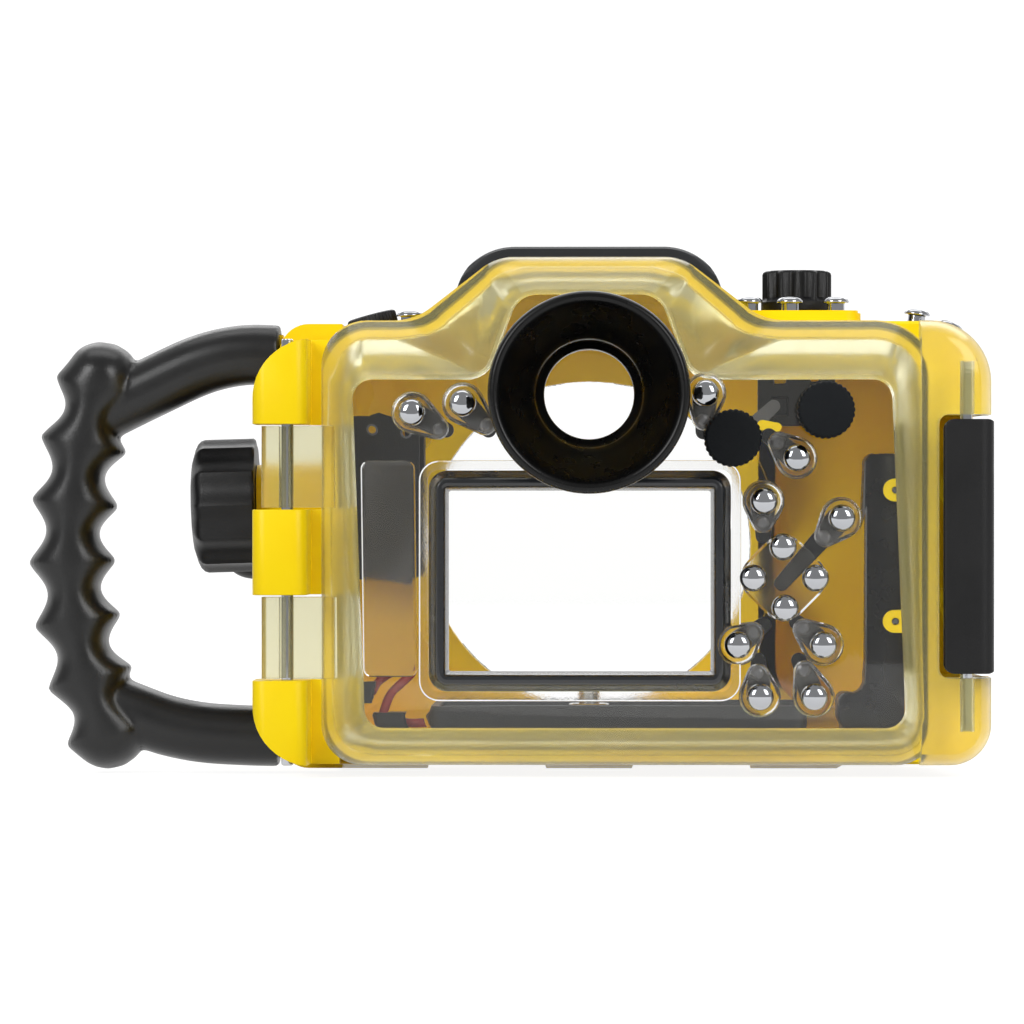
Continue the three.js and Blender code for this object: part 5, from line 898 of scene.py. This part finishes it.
# Section of the black hood round the monitor, with a step outside and a crisp crest
HOOD = [
    (0.2, -22.3), (0.0, -22.5), (0.0, -23.5), (0.2, -24.3), (0.75, -25.4), (1.35, -26.5), (1.8, -27.6), (2.15, -28.4),
    (2.6, -28.85), (3.1, -29), (3.9, -29), (4.4, -28.85), (4.75, -28.4), (4.95, -27.7), (5.25, -26.2),
    (5.55, -24.6), (5.8, -23.0), (5.85, -22.3),
]


def hood():
    notches = [lifted([(hull(cap, screw, 5.95, 3.15), y) for y in (-34, -20)]) for cap, screw in BOSSES]
    made = carved("monitor_hood", hoop(round_monitor(6, 5.5), HOOD, 14), removed=notches, sharp=28.0)
    return softened(made, 0.25, 2, 50.0)


fitted(hood(), "black_gloss", "rear_door", "monitor_frame")


def fluted(radius, count, depth, layers, steps=8, power=1.0):
    """A grip whose flutes are cut to a share of their depth at each layer: (shrink, share, y)."""
    rings = []
    for shrink, share_of_depth, y in layers:
        points = []
        for i in range(count * steps):
            turn = i * 2 * math.pi / (count * steps)
            reach = radius - shrink - depth * share_of_depth * ((1 - math.cos(turn * count)) / 2) ** power
            points.append(Vector((reach * math.cos(turn), y, reach * math.sin(turn))))
        rings.append(points)
    return skin(rings)


def inner_wheel(low, high):
    """The ribbed wheel at the inner end of a dial's spindle."""
    return fluted(6.0, 24, 0.4, [(0.3, 1, low), (0, 1, low + 0.3), (0, 1, high - 0.3), (0.3, 1, high)], 4)


def rear_knob(name, place):
    top = -BOSS_RISE - 0.3
    grip = fluted(8.3, 30, 0.3, [
        (0.5, 0, top), (0.15, 0.6, top - 0.35), (0, 1, top - 0.8), (0, 1, top - 7.5), (0.25, 1, top - 8.1),
        (0.7, 0.5, top - 8.45), (1.1, 0, top - 8.5), (6.0, 0, top - 8.5),
    ], 6, 2.0)
    parts = [grip, pin(SPINDLE_RADIUS, top - 0.2, 4.3), inner_wheel(4.3, 7.3)]
    placed = [(at(place, shifted(part, y=FACE_Y)), number) for number, part in enumerate(parts)]
    fitted(assembled(name + "_grip", placed, [MATT, STEEL, RUBBER], 38.0), "black_plastic", name, name)


rear_knob("rear_knob_inner", KNOBS[0])
rear_knob("rear_knob_outer", KNOBS[1])


# ---- Latch ----

LEVER_LOW, LEVER_HIGH = POCKET_LOW + 1.4, POCKET_HIGH - 1.4
LEVER_EDGE, LEVER_RIGHT = 102.5, BODY_RIGHT + 1


def lever():
    plan = [
        (LEVER_EDGE, -15.2, 1.0), (109.0, -15.9, 14), (LEVER_RIGHT - 0.8, -16.0, 5), (LEVER_RIGHT, 26, 1),
        (LEVER_RIGHT - 3.2, 26, 1), (LEVER_RIGHT - 4.0, -12, 3), (LEVER_EDGE, -12, 1),
    ]
    right = LEVER_RIGHT - 3.2 + SUNK
    parts = [block((105.2, right), (-12 - SUNK, 5), (low, low + 6)) for low in (LEVER_LOW, LEVER_HIGH - 6)]
    bores = [standing(pin(radius, LEVER_LOW - 2, LEVER_HIGH + 2, 36), *pivot)
             for radius, pivot in ((LATCH_BORE, LATCH_PIVOT), (HOOK_BORE, HOOK_PIVOT))]
    made = carved("lever_plate", column(plan, LEVER_LOW, LEVER_HIGH, 10), parts, bores)
    kept_within(made, slab(rectangle((LEVER_EDGE, LEVER_RIGHT + 0.4), (LEVER_LOW, LEVER_HIGH), 3.2), -20, 30))
    return softened(made, 1.0, 4, 40.0)


def hook():
    low, high = LEVER_LOW + 6.3, LEVER_HIGH - 6.3
    plate = column([(111.2, 1, 0.4), (112.4, 1, 0.4), (112.4, 14, 1.1), (107.6, 14, 0.6), (107.6, 11, 0.6),
                    (110.0, 11, 1.0), (110.0, 1, 0.4)], low, high, 8)
    rod = standing(pin(1.5, LEVER_LOW + 0.3, LEVER_HIGH - 0.3), *HOOK_PIVOT)
    return softened(carved("catch_hook", plate, [rod]), 0.35, 2, 45.0)


fitted(lever(), "black_plastic", "latch_lever", "latch_lever")
fitted(hook(), "steel", "latch_hook", "latch_hook")
LATCH_PIN = [(0, 0), (1.45, 0), (1.75, 0.3), (1.75, 22.1), (1.45, 22.4), (0, 22.4)]
for name, low in (("latch_pin_upper", LEVER_HIGH - 6), ("latch_pin_lower", POCKET_LOW - LATCH_PIN_REACH)):
    made = piece(name + "_rod", standing(turned(LATCH_PIN, 36), *LATCH_PIVOT, low), 40.0)
    fitted(made, "steel", "rear_door", name, material=CHROME)


# ---- Hinge, handle and outer fittings ----

HINGE_ROD = [(0, 0), (1.4, 0), (HINGE_PIN_RADIUS, 0.35), (HINGE_PIN_RADIUS, 123.65), (1.4, 124), (0, 124)]
hinge_rod = piece("hinge_rod", standing(turned(HINGE_ROD, 40), -HINGE_X, -HINGE_BEHIND, BODY_FLOOR), 40.0)
fitted(hinge_rod, "steel", "front_assembly", "hinge_pin", material=CHROME)

GRIP_LINE_SHARES = [(0.832, 0.956), (0.852, 0.9), (0.942, 0.74), (0.986, 0.607), (1, 0.473), (0.971, 0.328),
                    (0.903, 0.191), (0.83, 0.095), (0.79, 0.012)]
HIGH_ARM_SHARES = [(0, 0.928), (0.17, 0.929), (0.36, 0.911), (0.625, 0.856), (0.87, 0.8)]
LOW_ARM_SHARES = [(0, 0.081), (0.17, 0.083), (0.385, 0.09), (0.554, 0.106), (0.697, 0.13), (0.86, 0.16)]
GRIP_REACH, HANDLE_HEIGHT = 62.1, 134.0
GRIP_VALLEY, GRIP_RIDGE, GRIP_HALF_DEPTH, GRIP_PITCH, GRIP_FIRST = 8.4, 13.5, 14.0, 17.6, 13.5


def curve_through(points, count):
    """Evenly spaced points, headings and distances along a smooth line through the given points."""
    ends = [points[0] * 2 - points[1], *points, points[-1] * 2 - points[-2]]
    fine = []
    for a, b, c, d in zip(ends, ends[1:], ends[2:], ends[3:]):
        first = (b - a).length ** 0.5
        second = first + (c - b).length ** 0.5
        third = second + (d - c).length ** 0.5
        for step in range(40):
            t = first + (second - first) * step / 40
            ab = a.lerp(b, t / first)
            bc = b.lerp(c, (t - first) / (second - first))
            cd = c.lerp(d, (t - second) / (third - second))
            fine.append(ab.lerp(bc, t / second).lerp(bc.lerp(cd, (t - first) / (third - first)),
                                                     (t - first) / (second - first)))
    fine.append(points[-1].copy())
    lengths = [0.0]
    for p, q in zip(fine, fine[1:]):
        lengths.append(lengths[-1] + (q - p).length)
    placed, k = [], 0
    for i in range(count + 1):
        goal = lengths[-1] * i / count
        while k < len(fine) - 2 and lengths[k + 1] < goal:
            k += 1
        part = min((goal - lengths[k]) / (lengths[k + 1] - lengths[k]), 1.0)
        placed.append((fine[k].lerp(fine[k + 1], part), (fine[k + 1] - fine[k]).normalized(), goal))
    return placed, lengths[-1]


def handle_limb(shares, count, size_at, sides=28):
    """A rounded bar along a line of the handle's plane, with half width and depth at each distance."""
    points = [Vector((-ARM_END - out * GRIP_REACH, HANDLE_Y, up * HANDLE_HEIGHT)) for out, up in shares]
    placed, length = curve_through(points, count)
    rings = []
    for middle, along, distance in placed:
        across = Vector((-along.z, 0, along.x))
        width, depth = size_at(distance, length)
        section = []
        for i in range(sides):
            turn = (i + 0.5) * 2 * math.pi / sides
            u, v = (math.copysign(abs(f(turn)) ** 0.88, f(turn)) for f in (math.cos, math.sin))
            section.append(middle + across * (u * width) + Vector((0, v * depth, 0)))
        rings.append(section)
    return skin(rings)


def grip_size(distance, length):
    valley = abs(math.sin(math.pi * (distance - GRIP_FIRST) / GRIP_PITCH)) ** 1.3
    fade = min(1, 0.25 + min(distance, length - distance) / 26)
    width = GRIP_RIDGE - 0.6 - (GRIP_RIDGE - GRIP_VALLEY) * valley * fade
    end = min(distance, length - distance, 10) / 10
    rounding = max(math.sqrt(1 - (1 - end) ** 2), 0.22)
    return width * rounding, GRIP_HALF_DEPTH * rounding


def side_handle():
    limbs = [handle_limb(shares, 16, lambda *_: (9, 11)) for shares in (HIGH_ARM_SHARES, LOW_ARM_SHARES)]
    made = carved("side_handle", handle_limb(GRIP_LINE_SHARES, 190, grip_size), limbs)
    blend_in = made.modifiers.new("one_moulding", "REMESH")
    blend_in.mode, blend_in.voxel_size = "VOXEL", 0.9 * MM
    polish = made.modifiers.new("polish", "SMOOTH")
    polish.factor, polish.iterations = 0.5, 4
    baked(made, 60.0)
    sockets = []
    near, far = TONGUE_DEPTHS
    half = TONGUE_HALF + GAP
    for height in ARM_HEIGHTS:
        sockets += [block((TONGUE_END - GAP, -ARM_END + 2), (near - GAP, far + GAP), (height - half, height + half)),
                    block((-ARM_END, -ARM_END + 4), (15, 45), (height - 12, height + 12)),
                    at((BOLT_X, height), pin(BOLT_HOLE, 23.7, 40.3)), at((BOLT_X, height), pin(4.7, 37, 43, 40))]
    return cut(made, sockets, 38.0)


fitted(side_handle(), "black_plastic", "front_assembly", "handle", material=GRIP)

for name, height in zip(("handle_bolt_upper", "handle_bolt_lower"), ARM_HEIGHTS):
    head = turned([(0, 37.3), (4.1, 37.3), (4.4, 37.6), (4.4, 39.9), (4.0, 40.3), (0, 40.3)], 40)
    bolt = carved(name + "_screw", head, [pin(2.5, 24, 38.5)], [pin(2.1, 38.2, 41, 6)])
    bolt.data.transform(Matrix.Translation((BOLT_X * MM, 0, height * MM)))
    fitted(bolt, "steel", "front_assembly", name)


def port_ring():
    back, face = BOSS_FACE + GAP, BOSS_FACE + 6
    made_ring = turned([
        (PORT_RADIUS, back), (57.6, back), (PORT_STEP_RADIUS, back + 0.3), (PORT_STEP_RADIUS, face - 1.4),
        (57.7, face - 0.7), (57.0, face - 0.25), (56.2, face), (51.2, face), (50.4, face - 0.3),
        (PORT_RADIUS, face - 1.0),
    ], 144)
    slots = [moved(block((-7, 7), (back - 2, face + 2), (47.8, 52.8)), Matrix.Rotation(i * 2 * math.pi / 3, 4, "Y"))
             for i in range(3)]
    return carved("port_bayonet", on_port(made_ring), removed=[on_port(s) for s in slots])


fitted(softened(port_ring(), 0.3, 2, 50.0), "black_plastic", "front_assembly", "port_ring")


def shroud():
    start = GAP + CASE_RIM + CASE_STEP + GAP
    end = start + 60
    line = inset(OUTER, -5.5)
    around = layered(line, [
        (1.6, start), (0.7, start + 0.25), (0.2, start + 0.8), (0, start + 1.6), (0, end - 3), (0.6, end - 1.2),
        (2.0, end - 0.2), (3.0, end)])
    within = slab(inset(OUTER, -0.3), start - 2, end + 2)
    made = carved("hump_saddle", around, removed=[within])
    kept_within(made, slab(rectangle((-39.5, 39.5), (BODY_TOP - 12, 156), 19), 0, end + 4, 16), 32.0)
    return softened(made, 0.5, 2, 50.0)


fitted(shroud(), "black_gloss", "front_assembly", "hump_shroud")


# ---- Controls on the top and at the left ----

CEILING = BODY_TOP - SEAL_LAND - CASE_DRAFT


def upright(shape, frame_of):
    """Stands up a control that is drawn with its cap towards -Y."""
    return moved(shape, frame_of @ DOWN)


def spot(x, y, z):
    return Matrix.Translation((x, y, z))


def outer_cap(name, frame_of, under, end, body, node, clip_at=None):
    fitted(piece(name, upright(cap_and_stem(under, 1.9, end, clip_at), frame_of), 40.0), "chrome", body, node)


def clipped_cap(name, x, y, seat, body, node):
    """A cap whose stem ends in a clip just under the room's ceiling."""
    outer_cap(name, spot(x, y, seat), -2.4, seat - CEILING + 1.3, body, node, seat - CEILING + 0.3)


for number, x in enumerate(TOP_BUTTON_X, 1):
    clipped_cap("top_cap_%d" % number, x, TOP_BUTTON_Y, PLATFORM_TOP, "top_push_%d" % number, "top_button_%d" % number)
clipped_cap("left_release_cap", *RELEASE_BUTTON, RELEASE_BUTTON_Z, "left_release_push", "left_release_button")
outer_cap("shutter_cap", SHUTTER, -4.0, 5.3, "shutter_push", "shutter_button")
outer_cap("shoulder_cap", SHOULDER, -2.4, 5.3, "shoulder_push", "shoulder_button")
BUSH = [(2.9, -0.3), (5.4, -0.3), (5.6, -0.5), (5.6, -1.0), (5.35, -1.4), (4.9, -1.6), (3.2, -1.6), (2.9, -1.4)]
fitted(piece("shutter_collar", upright(turned(BUSH, 56), SHUTTER), 40.0),
       "black_plastic", "front_assembly", "shutter_bush")


def release_disc():
    edge = fluted(7.4, 40, 0.3, [(0.4, 0, -0.3), (0, 1, -0.6), (0, 1, -3.2), (0.25, 0.6, -3.7), (0.8, 0, -4.0),
                                 (2.2, 0, -4.0), (2.5, 0, -3.75), (3.0, 0, -3.75)], 6)
    stem = pin(STEM_RADIUS, -0.5, 4)
    return assembled("left_release_disc", [(upright(edge, RELEASE), 0), (upright(stem, RELEASE), 1)], [BLACK, STEEL])


fitted(release_disc(), "black_plastic", "left_release", "left_release")


def top_dial():
    lift, skirt, crown = -0.3, -3.7, -12.6
    inner = PLATFORM_TOP - CEILING + 0.3
    grip = fluted(10.7, 12, 1.5, [
        (0.5, 0, lift), (0, 0, lift - 0.5), (0, 0, skirt + 0.5), (0.35, 0.1, skirt), (0.4, 1, skirt - 0.9),
        (0.4, 1, crown + 1.2), (0.7, 0.9, crown + 0.5), (1.4, 0.6, crown + 0.1), (2.2, 0.2, crown), (6, 0, crown),
    ], 14, 0.8)
    parts = [grip, pin(SPINDLE_RADIUS, lift - 0.2, inner + 0.2), inner_wheel(inner, inner + 2)]
    place = spot(*TOP_DIAL, PLATFORM_TOP)
    return assembled("top_dial", [(upright(part, place), number) for number, part in enumerate(parts)],
                     [BLACK, STEEL, RUBBER])


fitted(top_dial(), "black_plastic", "top_knob", "top_knob")


def side_dial():
    seat, end = -SIDE_SEAT, -SIDE_END
    grip = fluted(20, 12, 1.5, [
        (0.6, 0.6, seat), (0, 0.9, seat - 0.6), (0, 1, seat - 1.4), (0, 1, end + 4.2), (0.4, 1, end + 3.0),
        (1.4, 1, end + 2.0), (3.0, 0.8, end + 1.2), (5.4, 0.5, end + 0.5), (8.0, 0.2, end + 0.1), (11, 0, end),
        (16, 0, end),
    ], 16, 0.6)
    spindle = pin(SPINDLE_RADIUS, seat - 0.3, 20, 36)
    return assembled("side_dial", [(moved(grip, SIDE_FRAME), 0), (moved(spindle, SIDE_FRAME), 1)], [BLACK, STEEL])


fitted(side_dial(), "black_plastic", "side_drive", "side_knob")


def drive_wheel():
    teeth = 40
    line = []
    for i in range(teeth * 4):
        turn = i * math.pi / (teeth * 2)
        radius = 20 if i % 4 < 2 else 18.9
        line.append(Vector((radius * math.cos(turn), radius * math.sin(turn))))
    wheel = lifted([(line, 12), (line, 18)])
    dish, hub = pin(15, 16.5, 19, 48), pin(6.5, 12.2, 18, 40)
    made = carved("drive_wheel", moved(wheel, SIDE_FRAME), removed=[moved(dish, SIDE_FRAME)],
                  added=[moved(hub, SIDE_FRAME)])
    return cut(made, [moved(pin(SPINDLE_HOLE, 8, 22, 40), SIDE_FRAME)], 30.0)


fitted(drive_wheel(), "black_rubber", "side_drive", "drive_gear")


def port_catch():
    """The domed button that lets the lens port go."""
    dome = [(6 * math.sin(i * math.pi / 24), -32.5 + 8.5 * (1 - math.cos(i * math.pi / 24))) for i in range(13)]
    under = -21.0
    return turned([*dome, (6, under), (5.7, under), (STEM_RADIUS, under), (STEM_RADIUS, -6), (0, -6)], 56)


fitted(piece("port_catch", moved(port_catch(), RELEASE_SEAT), 40.0),
       "black_plastic", "port_release_push", "port_release")


# ---- Inside the case ----

SEAL_RADIUS = 1.4
seal = [(SEAL_RADIUS * math.cos(turn * math.pi / 6), 2.0 + SEAL_RADIUS * math.sin(turn * math.pi / 6))
        for turn in range(12)]
fitted(piece("door_seal", hoop(inset(COVER, 4.25), seal), 60.0), "black_rubber", "front_assembly", "main_o_ring")

TRAY_LOW = BODY_FLOOR + SEAL_LAND + CASE_DRAFT + GAP
TRAY_TOP = TRAY_LOW + 3.4
TRAY_SCREW = (0, 30)


def slide_tray():
    plan = rectangle((-46, 64), (8, 60), 4)
    slots = [shifted(column(rectangle((x - 9, x + 9), (-3, 3), 2.9), TRAY_LOW - 2, TRAY_TOP + 4), y=48)
             for x in (-22, 34)]
    bore = standing(pin(3.4, TRAY_LOW - 2, TRAY_TOP + 4, 36), *TRAY_SCREW)
    made = carved("slide_tray", column(plan, TRAY_LOW, TRAY_TOP + 2.2, 8),
                  removed=[column(inset(plan, 2.2), TRAY_TOP, TRAY_TOP + 5, 8), *slots, bore])
    return softened(made, 0.4, 2, 50.0)


fitted(slide_tray(), "black_plastic", "front_assembly", "camera_tray")
TRAY_BOLT = [(0, TRAY_LOW), (2.8, TRAY_LOW), (3.1, TRAY_LOW + 0.3), (3.1, TRAY_TOP + 0.3), (5.7, TRAY_TOP + 0.3),
             (6, TRAY_TOP + 0.6), (6, TRAY_TOP + 1.9), (5.7, TRAY_TOP + 2.2), (3.1, TRAY_TOP + 2.2),
             (3.1, TRAY_LOW + 10.4), (2.7, TRAY_LOW + 10.8), (0, TRAY_LOW + 10.8)]
fitted(piece("tray_bolt", standing(turned(TRAY_BOLT, 40), *TRAY_SCREW), 40.0),
       "steel", "front_assembly", "tray_screw")


def rest_pad():
    line = [(73, TRAY_LOW, 3), (91, TRAY_LOW, 3), (91, 94.5, 3), (80.5, 94.5, 3), (80.5, TRAY_LOW + 10, 4),
            (73, TRAY_LOW + 10, 3)]
    depths = [(0.8, 8), (0.25, 8.25), (0, 8.8), (0, 27.2), (0.25, 27.75), (0.8, 28)]
    return piece("rest_pad", layered(line, depths, 8), 40.0)


fitted(rest_pad(), "black_rubber", "front_assembly", "grip_pad")


COVER_HEIGHTS, COVER_HOLES = (58, 106), ((-63.2, 102), (-54.3, 101.2))


def wheel_bracket():
    back = FRONT_FACE - CASE_WALL - GAP
    rib = slab(rectangle((-56, -50), COVER_HEIGHTS, 1.5), back - 12, back, 6)
    return softened(piece("wheel_bracket", rib, 40.0), 0.4, 2, 50.0)


def wheel_cover():
    """The thin plate over the drive wheel, held at the case's left wall."""
    plate = slab(rectangle((CASE_WALL - BODY_LEFT, -50.3), COVER_HEIGHTS, 1.5), 23.4, 24.4, 6)
    holes = [at(place, pin(1.1, 20, 28, 24)) for place in COVER_HOLES]
    return softened(carved("wheel_cover", plate, removed=holes), 0.2, 2, 50.0)


def cover_eyelets():
    rim = turned([(1.1, 23.1), (1.7, 23.1), (1.7, 23.6), (1.1, 23.6)], 28)
    return assembled("cover_eyelets", [(at(place, rim), 0) for place in COVER_HOLES], [SCREW], 40.0)


fitted(wheel_bracket(), "black_plastic", "front_assembly", "drive_bracket")
fitted(wheel_cover(), "black_plastic", "front_assembly")
fitted(cover_eyelets(), "steel", "front_assembly")


def linkage():
    low, high, near, far = 103.2, 115.0, 22, 27
    wall_end = FRONT_FACE - CASE_WALL - CASE_EDGE
    drawn_in = CASE_DRAFT * (far - GAP - CASE_RIM) / (wall_end - GAP - CASE_RIM)
    ceiling = BODY_TOP - SEAL_LAND - drawn_in - GAP
    bars = [block((a, b), (near, far), (high - SUNK, ceiling)) for a, b in ((50, 54.8), (58.4, 65.6), (68, 72.8))]
    face = [block((x - 2.4, x + 2.4), (near - 2, near + 1), (low + 3, low + 8.4)) for x in (56.4, 66.2)]
    made = carved("control_block", block((50, 72.8), (near, far), (low, high)), bars, face)
    return softened(made, 0.4, 2, 50.0)


fitted(linkage(), "black_plastic", "front_assembly", "control_linkage")


def tube(points, radius, count=60, sides=14):
    """A round tube along a smooth line."""
    placed, _ = curve_through([Vector(p) for p in points], count)
    rings = []
    side = Vector((0, 1, 0)).cross(placed[0][1])
    side = side.normalized() if side.length > 0.1 else Vector((1, 0, 0))
    for middle, along, _ in placed:
        side = (side - along * side.dot(along)).normalized()
        other = along.cross(side)
        rings.append([middle + (side * math.cos(a) + other * math.sin(a)) * radius
                      for a in (i * 2 * math.pi / sides for i in range(sides))])
    return skin(rings)


def leak_lead():
    low, y = TRAY_LOW + 3.0, 23.0
    wire = tube([(-59.4, y, low), (-58.1, y, low + 6), (-52.5, y, low + 12), (-53.8, 26, low + 13.8),
                 (-62, 27.2, low + 9.6), (-63.6, y, 24.5)], 1.3, 70, 16)
    sensor = column(rectangle((-62, -52.5), (20, 32), 1.2), TRAY_LOW, TRAY_LOW + 3.6, 5)
    plug = column(rectangle((-67, -63), (20, 26), 0.8), 21.5, 27.5, 5)
    ribs = [column(rectangle((-67.3, -62.8), (19.8, 26.2), 0.9), z, z + 0.7, 5) for z in (22.6, 24.2, 25.8)]
    link = tube([(-52.5, 26, TRAY_LOW + 1.6), (-50, 25.4, TRAY_LOW + 1.5), (-47.2, 25, TRAY_LOW + 1.6)], 0.8, 12, 12)
    parts = [(wire, 0), (link, 0), (sensor, 1), (plug, 1), *((rib, 1) for rib in ribs)]
    return assembled("leak_detector", parts, [RED, BLACK], 40.0)


fitted(leak_lead(), "red_lead", "front_assembly", "leak_sensor")


# ---- Small parts seen through the window ----

def wall_boss(name, height):
    """A half-round screw boss on the case's right wall."""
    stock = slab([(85.0, height - 3.3, 3.2), (94, height - 3.3, 0.2), (94, height + 3.3, 0.2),
                  (85.0, height + 3.3, 3.2)], 2.4, 7.4)
    place = (88.4, height)
    screw = turned([(0, 3.1), (0.8, 3.1), (0.95, 3.3), (0.95, 5), (0, 5)], 28)
    made = softened(carved(name, stock, removed=[at(place, pin(1.1, 0, 4.4, 28))]), 0.3, 2, 50.0)
    fitted(made, "yellow_shell", "front_assembly")
    fitted(piece(name + "_screw", at(place, screw)), "steel", "front_assembly", material=SCREW)


wall_boss("wall_boss_upper", 83.9)
wall_boss("wall_boss_lower", 45.7)


def flat_bar(name, start, end, radii, depths, steps):
    line = hull(start, end, *radii, steps)
    return piece(name, lifted([(line, y) for y in depths]))


fitted(flat_bar("camera_lever", (46.5, 101.6), (54.6, 109.0), (2.4, 1.9), (19.6, 22.3), 12),
       "black_plastic", "front_assembly", material=GREY)
fitted(flat_bar("camera_lever_tip", (51.2, 103.4), (55.6, 102.8), (1.5, 1.3), (19.0, 22.4), 10),
       "yellow_shell", "front_assembly")


# ---- Stage, light and camera ----

def stage_plane(name, corners, material):
    mesh = bpy.data.meshes.new(name)
    mesh.from_pydata(corners, [], [(0, 1, 2, 3)])
    made = bpy.data.objects.new(name, mesh)
    bpy.context.scene.collection.objects.link(made)
    made.data.materials.append(material)
    return made


def stage_white(name, diffuse, glow):
    """Pale paper that is white to the eye, and in metal and glass."""
    material, tree, surface = shaded(
        name, Base_Color=(diffuse, diffuse, diffuse, 1), Roughness=0.9, Specular_IOR_Level=0.1,
        Emission_Color=(1, 1, 1, 1))
    path = add(tree, "ShaderNodeLightPath").outputs
    seen = combined(tree, "MAXIMUM", path["Is Camera Ray"], path["Is Transmission Ray"])
    seen = combined(tree, "MAXIMUM", seen, path["Is Glossy Ray"])
    feed(tree, surface, {"Emission Strength": combined(tree, "MULTIPLY", seen, glow)})
    return material


NEAR_EDGE, FAR_EDGE, SIDE_EDGE, BACKDROP_TOP = -0.95, 3.0, 6, 4
stage_plane(
    "floor",
    [(-SIDE_EDGE, NEAR_EDGE, 0), (SIDE_EDGE, NEAR_EDGE, 0), (SIDE_EDGE, FAR_EDGE, 0), (-SIDE_EDGE, FAR_EDGE, 0)],
    stage_white("floor_paper", 0.3, 0.89),
)
stage_plane(
    "backdrop",
    [(-SIDE_EDGE, FAR_EDGE, 0), (SIDE_EDGE, FAR_EDGE, 0), (SIDE_EDGE, FAR_EDGE, BACKDROP_TOP),
     (-SIDE_EDGE, FAR_EDGE, BACKDROP_TOP)],
    stage_white("backdrop_paper", 0.2, 0.97),
)


def lamp(name, place, target, width, height, power):
    data = bpy.data.lights.new(name, "AREA")
    data.shape, data.size, data.size_y, data.energy = "RECTANGLE", width, height, power
    made = bpy.data.objects.new(name, data)
    bpy.context.scene.collection.objects.link(made)
    made.location = place
    made.rotation_euler = (Vector(target) - Vector(place)).to_track_quat("-Z", "Y").to_euler()
    return made


lamp("left_box", (-0.85, -1.05, 0.7), (0, 0, 0.07), 0.6, 0.8, 10.5)
lamp("right_box", (0.85, -1.05, 0.7), (0, 0, 0.07), 0.6, 0.8, 9.0)
lamp("top_box", (0.0, 0.25, 1.2), (0, 0.05, 0.07), 1.2, 0.5, 3.5)
lamp("back_box", (0.0, 1.9, 1.3), (0, 1.7, 0), 2.4, 1.2, 16.0)

world = bpy.data.worlds.new("studio")
world.use_nodes = True
bpy.context.scene.world = world
sky = world.node_tree.nodes["Background"]
sky.inputs["Color"].default_value = (1, 1, 1, 1)
sky.inputs["Strength"].default_value = 0.42

view = bpy.data.cameras.new("photo_view")
view.lens, view.sensor_width, view.clip_start, view.clip_end = 183.1, 36.0, 0.05, 50.0
eye_point = bpy.data.objects.new("photo_view", view)
bpy.context.scene.collection.objects.link(eye_point)
eye_point.location = (0, -1.561, 0.0777)
aim = Vector((-0.0222, -0.061, 0.0777)) - eye_point.location
eye_point.rotation_euler = aim.to_track_quat("-Z", "Y").to_euler()
bpy.context.scene.camera = eye_point
bpy.context.scene.view_settings.view_transform = "Standard"
